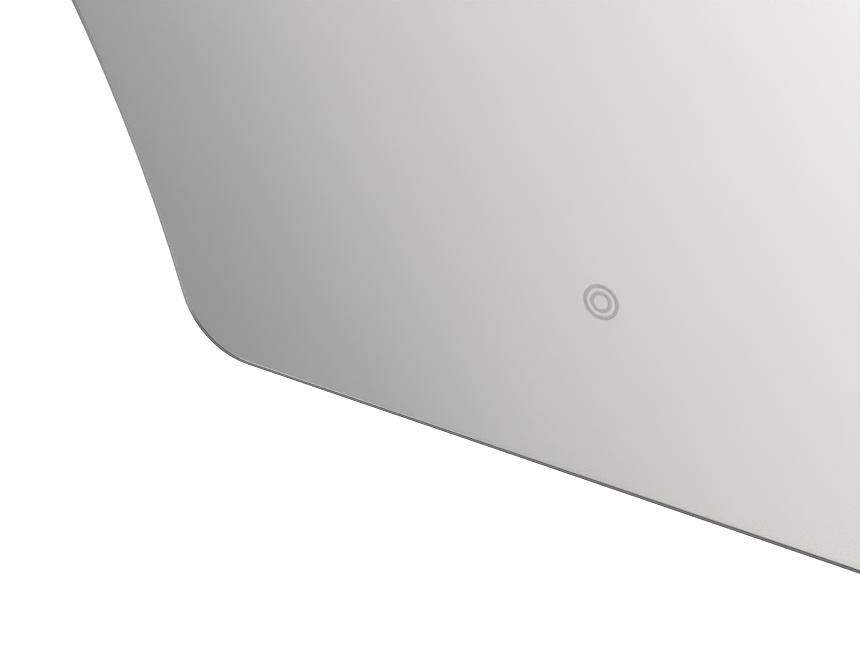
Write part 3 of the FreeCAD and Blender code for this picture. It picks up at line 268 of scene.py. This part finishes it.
# %% [markdown]
# ## Anodised aluminium
#
# The frame is an extrusion, bent to the outline and anodised. Extrusions carry faint lines along their
# length, from the die. On the web these lines lie at constant depth, on the cross rails at constant
# height, so a noise that is stretched along the profile draws them with no picture at all. Real lines
# are some 0.05 mm apart, too fine to show here, so they are drawn about 0.6 mm apart.

# %% Aluminium


def extruded(name, stretch):
    """Satin anodised aluminium; stretch holds the scale of its die lines along each axis, per metre."""
    material, tree, place = start_finish(name)
    lines_place = add(tree, "ShaderNodeVectorMath", {0: place, 1: stretch}, operation="MULTIPLY")
    lines = add(tree, "ShaderNodeTexNoise", {"Vector": lines_place, "Scale": 1.0, "Detail": 3.0})
    wide = add(tree, "ShaderNodeTexNoise", {"Vector": place, "Scale": per_mm(90.0), "Detail": 2.0})
    tone = add(tree, "ShaderNodeValToRGB", {"Fac": wide}, [(0.3, "C6C9CB"), (0.7, "D5D7D9")])
    rough = add(tree, "ShaderNodeMapRange", {"Value": lines, "To Min": 0.26, "To Max": 0.44})
    relief = add(tree, "ShaderNodeBump", {"Height": lines, "Distance": 0.008 * MM, "Strength": 0.5})
    shader = add(tree, "ShaderNodeBsdfPrincipled", {
        "Base Color": tone, "Metallic": 1.0, "Roughness": rough, "Normal": relief})
    add(tree, "ShaderNodeOutputMaterial", {"Surface": shader})
    return material


# Die lines repeat every 0.6 mm across the profile, and fade in and out over 60 mm along it.
LINE = per_mm(0.6)
ALONG = per_mm(60.0)
bent_profile = extruded("anodised_bent_profile", (ALONG, LINE, ALONG))
straight_rail = extruded("anodised_straight_rail", (ALONG, LINE, LINE))
for name, radius, finish in (("frame_profile", 0.25, bent_profile), ("frame_splice", 0.3, straight_rail),
                             ("upper_cross_rail", 0.3, straight_rail),
                             ("lower_cross_rail", 0.3, straight_rail)):
    soften(name, radius, "anodised_aluminium", finish)

# %% [markdown]
# ## Zinc-plated steel
#
# The hooks and the wall rail are folded steel with a bright zinc plate. Electroplated zinc is bluish
# and shows soft patches of slightly different shine, a few millimetres across, over fine rolling
# marks of the sheet.

# %% Zinc plate
# Rolling marks repeat every 0.8 mm across the sheet.
ROLLED = per_mm(0.8)
zinc, tree, place = start_finish("bright_zinc_plated_steel")
patches = add(tree, "ShaderNodeTexVoronoi", {"Vector": place, "Scale": per_mm(6.0)}, feature="SMOOTH_F1")
patch = patches.outputs["Color"]
tone = add(tree, "ShaderNodeValToRGB", {"Fac": patch}, [(0.2, "C6CBD0"), (0.8, "CED2D6")])
rough = add(tree, "ShaderNodeMapRange", {"Value": patch, "To Min": 0.25, "To Max": 0.31})
rolling = add(tree, "ShaderNodeVectorMath", {0: place, 1: (ALONG, ROLLED, ROLLED)}, operation="MULTIPLY")
marks = add(tree, "ShaderNodeTexNoise", {"Vector": rolling, "Scale": 1.0, "Detail": 3.0})
relief = add(tree, "ShaderNodeBump", {"Height": marks, "Distance": 0.006 * MM, "Strength": 0.4})
shader = add(tree, "ShaderNodeBsdfPrincipled", {
    "Base Color": tone, "Metallic": 1.0, "Roughness": rough, "Normal": relief})
add(tree, "ShaderNodeOutputMaterial", {"Surface": shader})
soften("left_hook", 0.3, "zinc_plated_steel", zinc)
soften("right_hook", 0.3, "zinc_plated_steel", zinc)
soften("wall_rail", 0.3, "zinc_plated_steel", zinc, body="wall_rail")
dress(zinc, "block_screws")

# %% [markdown]
# ## Rivets and screws
#
# Fasteners are turned parts, so each is one outline spun about its axis. The CAD model gives their
# places: every loose solid of a fastener part is one rivet or screw, and the middle of its box lies on
# its axis. A blind rivet keeps the stub of its pulled mandrel in the hollow of its domed head, and its
# tail swells behind the sheet.

# %% Turned shapes
# The number of flats round a turned part.
TURNS = 28


def spin(build, profile, seat, axis):
    """Spin an outline of (radius, height) in millimetres about an axis through a seat."""
    across = axis.orthogonal().normalized()
    beside = axis.cross(across)
    rings = []
    for radius, height in profile:
        ring = []
        for step in range(TURNS if radius else 1):
            angle = 2 * math.pi * step / TURNS
            reach = across * math.cos(angle) + beside * math.sin(angle)
            ring.append(build.verts.new(seat + axis * height * MM + reach * radius * MM))
        rings.append(ring)
    for low, high in zip(rings, rings[1:]):
        for step in range(TURNS):
            after = (step + 1) % TURNS
            corners = [ring[turn % len(ring)] for ring, turn in
                       ((low, step), (low, after), (high, after), (high, step))]
            build.faces.new(list(dict.fromkeys(corners)))


def loose_boxes(name):
    """The lowest and highest corner of each loose solid of a part."""
    build = bmesh.new()
    build.from_mesh(nodes[name].data)
    bmesh.ops.remove_doubles(build, verts=build.verts, dist=WELD)
    unseen = set(build.verts)
    boxes = []
    for first in build.verts:
        if first not in unseen:
            continue
        unseen.remove(first)
        group = [first]
        for vertex in group:
            fresh = {edge.other_vert(vertex) for edge in vertex.link_edges} & unseen
            unseen -= fresh
            group += fresh
        spots = [vertex.co for vertex in group]
        boxes.append([Vector([pick(spot[i] for spot in spots) for i in range(3)]) for pick in (min, max)])
    build.free()
    return boxes


def close_piece(build, label):
    """Turn what was built into a smooth-shaded piece with sharp edges kept."""
    bmesh.ops.recalc_face_normals(build, faces=build.faces)
    mesh = bpy.data.meshes.new(label)
    build.to_mesh(mesh)
    build.free()
    mesh.shade_smooth()
    mesh.set_sharp_from_angle(angle=EDGE_ANGLE)
    piece = bpy.data.objects.new(label, mesh)
    bpy.context.scene.collection.objects.link(piece)
    return piece


print(len(loose_boxes("cross_rail_rivets")), "rivets hold the cross rails")

# %% [markdown]
# Rivets are plain aluminium, tumbled with stones to take the burrs off, so they are a little darker
# and more neutral than the anodised rails around them, and as dull.

# %% Blind rivets
bright, tree, place = start_finish("tumbled_rivet_aluminium")
dents = add(tree, "ShaderNodeTexNoise", {"Vector": place, "Scale": per_mm(0.9), "Detail": 3.0})
tone = add(tree, "ShaderNodeValToRGB", {"Fac": dents}, [(0.3, "BFC1C2"), (0.7, "CFD0D1")])
relief = add(tree, "ShaderNodeBump", {"Height": dents, "Distance": 0.01 * MM, "Strength": 0.5})
shader = add(tree, "ShaderNodeBsdfPrincipled", {
    "Base Color": tone, "Metallic": 1.0, "Roughness": 0.38, "Normal": relief})
add(tree, "ShaderNodeOutputMaterial", {"Surface": shader})

# In millimetres: the head's height, the shank's radius, the swollen tail's length, and the radius of
# the hollow that the mandrel leaves.
HEAD = 1.2
SHANK = 1.6
TAIL = 2.5
HOLLOW = 0.95
# Away from the glass, where the heads are.
REAR = Vector((0.0, 1.0, 0.0))


def rivets(name):
    """Blind rivets in the places of a part's plain ones, heads to the rear."""
    build = bmesh.new()
    for low, high in loose_boxes(name):
        head_radius = (high.x - low.x) / 2 / MM
        length = (high.y - low.y) / MM
        end = HEAD - length
        seat = Vector(((low.x + high.x) / 2, high.y - HEAD * MM, (low.z + high.z) / 2))
        spin(build, [(0, 0.5), (HOLLOW, 0.45), (HOLLOW + 0.05, 1.1), (1.3, HEAD), (2.1, 1.08), (2.8, 0.74),
                     (head_radius, 0.2), (head_radius, 0), (SHANK, 0), (SHANK, end + TAIL),
                     (SHANK + 0.5, end + TAIL - 0.4), (SHANK + 0.6, end + TAIL - 1.1), (SHANK, end + 0.3),
                     (HOLLOW, end), (0, end)], seat, REAR)
    settle(close_piece(build, name + "_domed"), "mirror", "rivet_aluminium", name, bright)


rivets("cross_rail_rivets")
rivets("hook_rivets")

# %% [markdown]
# The screws have pan heads with a cross recess. The recess is cut by a boolean modifier with two
# crossed wedges, as the forming tool presses it in. The shank carries its thread as small ridges.
# A real thread is a helix, but at this size rings look the same and stay simple.

# %% Pan-head screws
# In millimetres: the thread's pitch and the depth of the cross recess.
PITCH = 0.9
RECESS = 1.3


def cross_tool(build, seat, axis, size):
    """Two crossed wedges that narrow towards the shank."""
    side = axis.orthogonal().normalized()
    # Height, reach and half width of each wedge, above the head and at its tip.
    ends = ((RECESS + 0.6, 0.62 * size, 0.5), (-RECESS * 0.4, 0.22 * size, 0.32))
    for first, second in ((side, axis.cross(side)), (axis.cross(side), side)):
        corners = []
        for height, reach, half in ends:
            for a, b in ((-1, -1), (1, -1), (1, 1), (-1, 1)):
                spot = first * a * reach + second * b * half + axis * height
                corners.append(build.verts.new(seat + spot * MM))
        build.faces.new(corners[:4])
        build.faces.new(corners[:3:-1])
        for wall in range(4):
            after = (wall + 1) % 4
            build.faces.new([corners[spot] for spot in (wall, wall + 4, after + 4, after)])


def screws(name, axis, head, radius):
    """Cross-recessed pan-head screws; axis points to the head, whose height and shank radius are given."""
    build, tools = bmesh.new(), bmesh.new()
    up = [abs(c) for c in axis].index(1.0)
    wide = 0 if up else 2
    for low, high in loose_boxes(name):
        rim = (high[wide] - low[wide]) / 2 / MM
        length = (high[up] - low[up]) / MM
        seat = (low + high) / 2 + axis * (length / 2 - head) * MM
        outline = [(0, head), (rim * 0.5, head * 0.98), (rim * 0.82, head * 0.8),
                   (rim, head * 0.4), (rim, 0.0)]
        ridges = int((length - head - 1.5) / PITCH)
        for ridge in range(ridges):
            outline += [(radius, -ridge * PITCH - 0.1), (radius * 0.84, -(ridge + 0.5) * PITCH)]
        outline += [(radius * 0.9, -ridges * PITCH), (radius * 0.4, head - length), (0, head - length)]
        spin(build, outline, seat, axis)
        cross_tool(tools, seat + axis * (head - RECESS) * MM, axis, rim)
    piece = close_piece(build, name + "_recessed")
    cutter = close_piece(tools, name + "_tool")
    cut = piece.modifiers.new("recess", "BOOLEAN")
    cut.object = cutter
    cut.operation = "DIFFERENCE"
    cut.solver = "EXACT"
    cut.use_self = True
    solid = piece.evaluated_get(bpy.context.evaluated_depsgraph_get())
    mesh = bpy.data.meshes.new_from_object(solid)
    piece.modifiers.clear()
    piece.data = mesh
    mesh.set_sharp_from_angle(angle=EDGE_ANGLE)
    bpy.data.objects.remove(cutter)
    settle(piece, "mirror", "screw_steel", name, zinc)


screws("lid_screws", REAR, 1.8, 1.5)
screws("gear_box_screws", REAR, 2.2, 2.0)
screws("splice_screws", Vector((0.0, 0.0, 1.0)), 1.8, 1.5)

# %% [markdown]
# ## Moulded plastics
#
# Moulded parts take the fine spark-eroded texture of their tool, and their colour drifts a little with
# the flow of the melt. One function makes such a plastic from its two tones, its roughness and its
# grit. Real grit is some 0.1 mm, too fine to show, so it is drawn at 0.7 mm unless a part asks
# otherwise.

# %% Plastics
# The size of the grit and its depth, in millimetres.
GRIT = 0.7
GRIT_DEPTH = 0.02


def moulded(name, dark, light, rough, grit=GRIT, depth=GRIT_DEPTH, **values):
    """A moulded plastic with the fine spark-eroded texture of its tool, and more shader values."""
    material, tree, place = start_finish(name)
    grains = add(tree, "ShaderNodeTexNoise", {"Vector": place, "Scale": per_mm(grit), "Detail": 3.0})
    flow = add(tree, "ShaderNodeTexNoise", {"Vector": place, "Scale": per_mm(35.0), "Detail": 2.0})
    tone = add(tree, "ShaderNodeValToRGB", {"Fac": flow}, [(0.3, dark), (0.7, light)])
    gloss = add(tree, "ShaderNodeMapRange", {
        "Value": grains, "To Min": rough - 0.06, "To Max": rough + 0.08})
    relief = add(tree, "ShaderNodeBump", {"Height": grains, "Distance": depth * MM, "Strength": 0.6})
    sockets = {socket.replace("_", " "): value for socket, value in values.items()}
    shader = add(tree, "ShaderNodeBsdfPrincipled", {
        "Base Color": tone, "Roughness": gloss, "Normal": relief, **sockets})
    add(tree, "ShaderNodeOutputMaterial", {"Surface": shader})
    return material


print("grit is drawn", GRIT, "mm across and", GRIT_DEPTH, "mm deep")

# %% [markdown]
# The gear box is white ABS, a satin plastic with rounded outer edges. Its lid closes the rear. The
# clips and the terminal block are natural nylon, which is creamy and a little see-through.

# %% Gear box
abs_white = moulded("white_moulded_abs", "DDDDDA", "E1E1DE", 0.42, IOR=1.54)
soften("gear_box", 0.6, "white_abs", abs_white)
soften("gear_box_lid", 0.5, "white_abs", abs_white)
dress(abs_white, "led_driver")

nylon = moulded("natural_nylon", "D8D3C6", "E2DED2", 0.40, IOR=1.53, Subsurface_Weight=0.1,
                Subsurface_Scale=0.002, Subsurface_Radius=(1.0, 0.9, 0.8))
soften("lead_clips", 0.3, "natural_nylon", nylon)
dress(nylon, "terminal_block")

# %% [markdown]
# The cable gland is grey nylon with moulded flats. The sensor cup and the demister's terminal are
# black ABS.

# %% Gland, sensor cup and terminal
grey_nylon = moulded("grey_moulded_nylon", "6B6E70", "767A7C", 0.45, IOR=1.53)
soften("gland_body", 0.3, "grey_nylon", grey_nylon)
soften("gland_nut", 0.4, "grey_nylon", grey_nylon)
dress(grey_nylon, "gland_locknut")

abs_black = moulded("black_moulded_abs", "16171A", "1E1F22", 0.40, IOR=1.54)
soften("sensor_housing", 0.4, "black_abs", abs_black)
soften("demister_terminal", 0.8, "black_abs", abs_black)

# %% [markdown]
# Leads have a smooth PVC sheath, extruded and slightly wavy. Rubber parts are moulded and dull.

# %% Leads and rubber
sheath = moulded("white_pvc_sheath", "D8D8D5", "E4E4E1", 0.36, grit=1.5, depth=0.01, IOR=1.53)
dress(sheath, "led_lead", "sensor_lead", "demister_lead")

rubber = moulded("black_moulded_rubber", "131313", "1C1C1C", 0.62, grit=0.5, depth=0.03, IOR=1.52)
soften("wall_bumpers", 0.8, "black_rubber", rubber)
dress(rubber, "lid_gasket", "gland_seal", "frame_grommet")

# %% [markdown]
# ## Light
#
# The light runs round the frame behind the glass: a white flexible circuit with its LEDs, under an opal
# polycarbonate cover. Opal plastic scatters light inside, which subsurface scattering gives: its edges
# look soft and waxy and the LEDs behind it can't be seen while they are off.

# %% Diffuser, strip and LEDs
opal = moulded("opal_polycarbonate", "EDEDE9", "F4F4F1", 0.30, grit=1.0, depth=0.01, IOR=1.585,
               Subsurface_Weight=0.4, Subsurface_Scale=0.004, Subsurface_Radius=(1.0, 1.0, 1.0))
soften("light_diffuser", 0.5, "opal_polycarbonate", opal)
dress(moulded("white_strip_circuit", "E4E3DD", "EFEEE9", 0.42, IOR=1.5), "led_strip")
dress(moulded("led_phosphor_and_ceramic", "EFE3A8", "F6F0D0", 0.34, grit=0.4, IOR=1.5), "led_packages")

# %% [markdown]
# ## Touch symbol
#
# The symbol is two rings where the silver was taken away, so that an opal light guide shows through.
# It could be painted on the face, but on the real mirror the rings lie behind the glass, and the eye
# sees that: they sit a little deeper than the surface. So the silver has real openings, and only the
# light guide behind them needs a finish: acrylic, very white and matt.

# %% Light guide and board
guide = moulded("white_acrylic_light_guide", "F7F6F5", "FBFAF9", 0.5, grit=0.3, depth=0.005, IOR=1.49)
dress(guide, "touch_lens")
dress(moulded("green_solder_mask", "0F3B24", "15502F", 0.30, IOR=1.5), "sensor_board")

# %% [markdown]
# ## Safety film and foam
#
# The painted back carries a film that holds the pieces together if the glass breaks. It is a white
# polyethylene weave of flat tapes, pressed under a clear skin. Two crossed wave textures give the
# tapes; real weaves alternate over and under, which at this size reads the same. Real tapes are 2 mm
# wide, less than two pixels in a view of the whole back, so they are drawn 5 mm wide.

# %% Woven film
# One tape in millimetres. A wave texture repeats every 2 pi / 20 of a unit at a scale of 1.
TAPE = 5.0
WAVE_REPEAT = 2 * math.pi / 20
film, tree, place = start_finish("woven_safety_film")
tapes = {"Vector": place, "Scale": WAVE_REPEAT * per_mm(TAPE), "Distortion": 0.3}
weft = add(tree, "ShaderNodeTexWave", tapes, wave_type="BANDS", bands_direction="X")
warp = add(tree, "ShaderNodeTexWave", tapes, wave_type="BANDS", bands_direction="Z")
weave = add(tree, "ShaderNodeMix", {"Factor": 0.5, "A": weft.outputs["Fac"], "B": warp.outputs["Fac"]})
tone = add(tree, "ShaderNodeValToRGB", {"Fac": weave}, [(0.2, "D3D5D4"), (0.8, "DDDFDD")])
relief = add(tree, "ShaderNodeBump", {"Height": weave, "Distance": 0.06 * MM, "Strength": 0.5})
shader = add(tree, "ShaderNodeBsdfPrincipled", {
    "Base Color": tone, "Roughness": 0.38, "Specular IOR Level": 0.4, "Normal": relief})
add(tree, "ShaderNodeOutputMaterial", {"Surface": shader})
dress(film, "safety_film")

# %% [markdown]
# Foam tape holds the glass to the frame. Closed-cell foam shows its cut cells as small pits, half a
# millimetre across, and has no shine.

# %% Foam tape
foam, tree, place = start_finish("closed_cell_foam")
cells = add(tree, "ShaderNodeTexVoronoi", {"Vector": place, "Scale": per_mm(0.5)})
# The tone is darkest at the bottom of each pit and lighter at its rim: painted shade in the cut cells.
tone = add(tree, "ShaderNodeValToRGB", {"Fac": cells}, [(0.0, "2C2C2D"), (0.6, "3B3B3C")])
relief = add(tree, "ShaderNodeBump", {"Height": cells, "Distance": 0.1 * MM, "Strength": 0.7})
shader = add(tree, "ShaderNodeBsdfPrincipled", {"Base Color": tone, "Roughness": 0.86, "Normal": relief})
add(tree, "ShaderNodeOutputMaterial", {"Surface": shader})
dress(foam, "foam_tape", "gear_box_tape")

# %% [markdown]
# ## Demister pad
#
# The pad keeps the glass above the dew point. It is an etched aluminium heating track between two thin
# polyester films, stuck to the back of the mirror. The film is a smooth skin with a few soft crinkles.

# %% Polyester film
foil, tree, place = start_finish("polyester_film")
crinkle = add(tree, "ShaderNodeTexNoise", {"Vector": place, "Scale": per_mm(18.0), "Detail": 3.0})
tone = add(tree, "ShaderNodeValToRGB", {"Fac": crinkle}, [(0.3, "D3D6D6"), (0.7, "E0E2E1")])
relief = add(tree, "ShaderNodeBump", {"Height": crinkle, "Distance": 0.3 * MM, "Strength": 0.5})
shader = add(tree, "ShaderNodeBsdfPrincipled", {
    "Base Color": tone, "Roughness": 0.25, "IOR": 1.6, "Coat Weight": 0.4, "Normal": relief})
add(tree, "ShaderNodeOutputMaterial", {"Surface": shader})
dress(foil, "demister_pad")

# %% [markdown]
# The track is one conductor that runs up and down the pad. It could be a pattern in the film's
# material, but a pattern has no ends and no turns. A ribbon along a path of right angles is as easy:
# at each corner the two edges of the ribbon lie half a width to both sides.

# %% Heating track
# The ribbon's width, the step from run to run, the border that stays free, and the ribbon's thickness.
TRACK_WIDTH = 5.0 * MM
TRACK_PITCH = 11.0 * MM
TRACK_BORDER = 10.0 * MM
TRACK_HEIGHT = 0.04 * MM


def ribbon(build, points, width, depth):
    """A flat ribbon along a path of right angles in a plane parallel to the wall."""
    edges = []
    for index, point in enumerate(points):
        before = points[max(index - 1, 0)]
        after = points[min(index + 1, len(points) - 1)]
        normals = {(-(b - a).normalized().y, (b - a).normalized().x)
                   for a, b in ((before, point), (point, after)) if a != b}
        shift = sum((Vector(normal) for normal in normals), Vector((0.0, 0.0))) * width / 2
        edges.append([build.verts.new((spot.x, depth, spot.y)) for spot in (point - shift, point + shift)])
    for (a, b), (c, d) in zip(edges, edges[1:]):
        build.faces.new((a, b, d, c))


pad_low, pad_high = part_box("demister_pad")
runs = int((pad_high.x - pad_low.x - 2 * TRACK_BORDER) / TRACK_PITCH)
top, foot = pad_high.z - TRACK_BORDER, pad_low.z + TRACK_BORDER
left = (pad_low.x + pad_high.x - runs * TRACK_PITCH) / 2
path = []
for run in range(runs + 1):
    ends = [foot, top] if run % 2 == 0 else [top, foot]
    path += [Vector((left + run * TRACK_PITCH, end)) for end in ends]
build = bmesh.new()
ribbon(build, path, TRACK_WIDTH, pad_high.y)
sheet = bmesh.ops.extrude_face_region(build, geom=build.faces[:])
for item in sheet["geom"]:
    if isinstance(item, bmesh.types.BMVert):
        item.co.y += TRACK_HEIGHT
track = close_piece(build, "demister_track")
print("track of", runs + 1, "runs,", round(TRACK_PITCH / MM, 1), "mm apart")

# %% [markdown]
# Etched aluminium under film is bright but soft: the film's own surface scatters a little, so the
# track gets the roughness of the film rather than that of bare foil.

# %% Track finish
etched, tree, place = start_finish("etched_aluminium_track")
sheen = add(tree, "ShaderNodeTexNoise", {"Vector": place, "Scale": per_mm(10.0), "Detail": 2.0})
tone = add(tree, "ShaderNodeValToRGB", {"Fac": sheen}, [(0.3, "AEB2B5"), (0.7, "BEC2C4")])
relief = add(tree, "ShaderNodeBump", {"Height": sheen, "Distance": 0.2 * MM, "Strength": 0.4})
shader = add(tree, "ShaderNodeBsdfPrincipled", {
    "Base Color": tone, "Metallic": 1.0, "Roughness": 0.34, "Normal": relief})
add(tree, "ShaderNodeOutputMaterial", {"Surface": shader})
settle(track, "mirror", "heating_foil", None, etched)

# %% [markdown]
# ## Camera
#
# The photograph looks down at the mirror's lower left part from in front and to the right. The place
# was worked out from two things of known form: the touch symbol, whose circle shows as an ellipse,
# and the straight foot of the glass.

# %% Camera
# The symbol's height above the foot, and the camera's place as seen from the symbol.
SYMBOL_RISE = 109.2 * MM
CAMERA_RIGHT = 427.9 * MM
CAMERA_ABOVE_SYMBOL = 563.9 * MM
CAMERA_DISTANCE = 857.0 * MM
# Turned to the left and tilted down, in degrees, with a long lens for a sensor of this width.
CAMERA_YAW = -31.605
CAMERA_PITCH = -31.393
LENS = 92.87
SENSOR_WIDTH = 36.0

symbol = Vector((0.0, face, glass_low.z + SYMBOL_RISE))
camera_data = bpy.data.cameras.new("camera")
camera_data.lens = LENS
camera_data.sensor_width = SENSOR_WIDTH
camera = bpy.data.objects.new("camera", camera_data)
camera.location = symbol + Vector((CAMERA_RIGHT, -CAMERA_DISTANCE, CAMERA_ABOVE_SYMBOL))
camera.rotation_euler = Euler((math.radians(90 + CAMERA_PITCH), 0.0, math.radians(-CAMERA_YAW)))
bpy.context.scene.collection.objects.link(camera)
bpy.context.scene.camera = camera
print("camera at", [round(c, 3) for c in camera.location])

# %% [markdown]
# ## Floor
#
# The mirror hangs high on its wall, so the floor lies far below its foot and takes no shadow from it.
# It is a light table: a matt white sheet lit from below, so that it stays white while the mirror is
# lit softly. Only the camera sees it. The photograph's mirror doesn't show the white ground around
# it, and light from below would take the shape out of the parts behind the glass.

# %% Floor
# The floor's depth below the foot and half its width, in metres.
FLOOR_DROP = 2.6
FLOOR_SIZE = 14.0
floor_mesh = bpy.data.meshes.new("floor")
build = bmesh.new()
bmesh.ops.create_grid(build, x_segments=8, y_segments=8, size=FLOOR_SIZE)
build.to_mesh(floor_mesh)
build.free()
floor = bpy.data.objects.new("floor", floor_mesh)
floor.location.z = glass_low.z - FLOOR_DROP
bpy.context.scene.collection.objects.link(floor)
floor.visible_glossy = False
floor.visible_diffuse = False
floor.visible_transmission = False
paper, tree, place = start_finish("white_light_table")
shade = add(tree, "ShaderNodeTexNoise", {"Vector": place, "Scale": 0.6, "Detail": 2.0})
tone = add(tree, "ShaderNodeValToRGB", {"Fac": shade}, [(0.3, "FAFAFA"), (0.7, "FDFDFD")])
shader = add(tree, "ShaderNodeBsdfPrincipled", {
    "Base Color": tone, "Roughness": 0.9, "Emission Color": srgb("FFFFFF"), "Emission Strength": 1.0})
add(tree, "ShaderNodeOutputMaterial", {"Surface": shader})
floor_mesh.materials.append(paper)
print("the floor lies", FLOOR_DROP, "m below the foot")

# %% [markdown]
# ## Studio
#
# The background is white, and matt parts and bare metal are lit by a soft room that is brightest
# overhead. What the mirror itself shows is a studio with one large soft glow to the front right. In
# the glass this glow is the slanting gradient from mid grey to nearly white, so its tones are set by
# how far a direction points to the glow. The photograph's view shows only the outer side of the glow,
# up to its bright rim. Inside the rim it is grey, because that is what the polished flank shows, and
# the flank has to stay a thin dark line. High up the studio is dim, for the line along the foot.

# %% What the mirror shows
# The direction in which the glow lies.
GLOW = Vector((0.579, -0.728, 0.368)).normalized()
world = bpy.data.worlds.new("studio")
world.use_nodes = True
tree = world.node_tree
tree.nodes.clear()
aim = add(tree, "ShaderNodeTexCoord").outputs["Generated"]
towards = add(tree, "ShaderNodeVectorMath", {0: aim, 1: GLOW}, operation="DOT_PRODUCT").outputs["Value"]
spread = add(tree, "ShaderNodeMapRange", {"Value": towards, "From Min": -0.3, "From Max": 1.0})
glow = add(tree, "ShaderNodeValToRGB", {"Fac": spread}, [
    (0.185, "8C8C8C"), (0.234, "A1A1A1"), (0.262, "AFAFAF"), (0.315, "CDCCCB"), (0.369, "E0DFDD"),
    (0.423, "EEEDEB"), (0.480, "FFFEFD"), (0.530, "C8C8C7"), (0.580, "AAAAAA"), (0.640, "AAAAAA"),
    (0.720, "D0CFCE"), (0.790, "BABAB9"), (0.840, "B0B0B0"), (1.0, "B0B0B0")])
height = add(tree, "ShaderNodeSeparateXYZ", {"Vector": aim}).outputs["Z"]
overhead = add(tree, "ShaderNodeMapRange", {"Value": height, "From Min": 0.04, "From Max": 0.50},
               interpolation_type="SMOOTHSTEP")
studio = add(tree, "ShaderNodeMixRGB", {"Fac": overhead, "Color1": glow, "Color2": srgb("645F61")})
print("glow towards", [round(c, 2) for c in GLOW])

# %% [markdown]
# The parts see a plain room: mid grey below, lighter at eye height, white overhead. The light guide
# behind the glass has an even, slightly warm light. A ray knows how often it has passed through glass
# and how often it was scattered, which tells these three apart.

# %% What the parts see
room_height = add(tree, "ShaderNodeMapRange", {"Value": height, "From Min": -1.0, "From Max": 1.0})
room = add(tree, "ShaderNodeValToRGB", {"Fac": room_height}, [
    (0.0, "8E8E8E"), (0.45, "ACACAC"), (0.6, "CDCDCE"), (1.0, "F4F4F4")])
ray = add(tree, "ShaderNodeLightPath").outputs
around = add(tree, "ShaderNodeMixRGB", {
    "Fac": ray["Is Camera Ray"], "Color1": room, "Color2": srgb("FFFFFF")})
scattered = add(tree, "ShaderNodeMath", {0: ray["Diffuse Depth"], 1: 0.5}, operation="GREATER_THAN")
inside = add(tree, "ShaderNodeMixRGB", {"Fac": scattered, "Color1": studio, "Color2": srgb("EBE3E0")})
through_glass = add(tree, "ShaderNodeMath", {0: ray["Transmission Depth"], 1: 0.5},
                    operation="GREATER_THAN")
sky = add(tree, "ShaderNodeMixRGB", {"Fac": through_glass, "Color1": around, "Color2": inside})
backdrop = add(tree, "ShaderNodeBackground", {"Color": sky, "Strength": 1.0})
add(tree, "ShaderNodeOutputWorld", {"Surface": backdrop})
bpy.context.scene.world = world
# The plain view shows each tone as it was set.
bpy.context.scene.view_settings.view_transform = "Standard"
print("the room and the studio take", len(tree.nodes), "nodes")

# %% [markdown]
# Two large round lamps give the back and the sides their shape. They are soft enough to leave no hard
# shadow, and rays that have passed through the glass don't meet them, so the mirror shows no lamp.

# %% Soft lamps
# The lamps' diameter, and the height above the foot that they point at, in metres.
LAMP_SIZE = 1.8
LAMP_TARGET = 0.4


def soft_lamp(name, spot, power):
    """A round lamp at a spot in metres, of a power in watts, that points at the mirror's middle."""
    lamp = bpy.data.lights.new(name, "AREA")
    lamp.shape = "DISK"
    lamp.size = LAMP_SIZE
    lamp.energy = power
    holder = bpy.data.objects.new(name, lamp)
    holder.location = spot
    beam = Vector((0.0, 0.0, glass_low.z + LAMP_TARGET)) - Vector(spot)
    holder.rotation_euler = beam.to_track_quat("-Z", "Y").to_euler()
    bpy.context.scene.collection.objects.link(holder)
    holder.visible_transmission = False
    print(name, "of", power, "watts")


soft_lamp("front_lamp", (-1.6, -2.2, 1.6), 24.0)
soft_lamp("back_lamp", (1.6, 2.2, 1.8), 38.0)
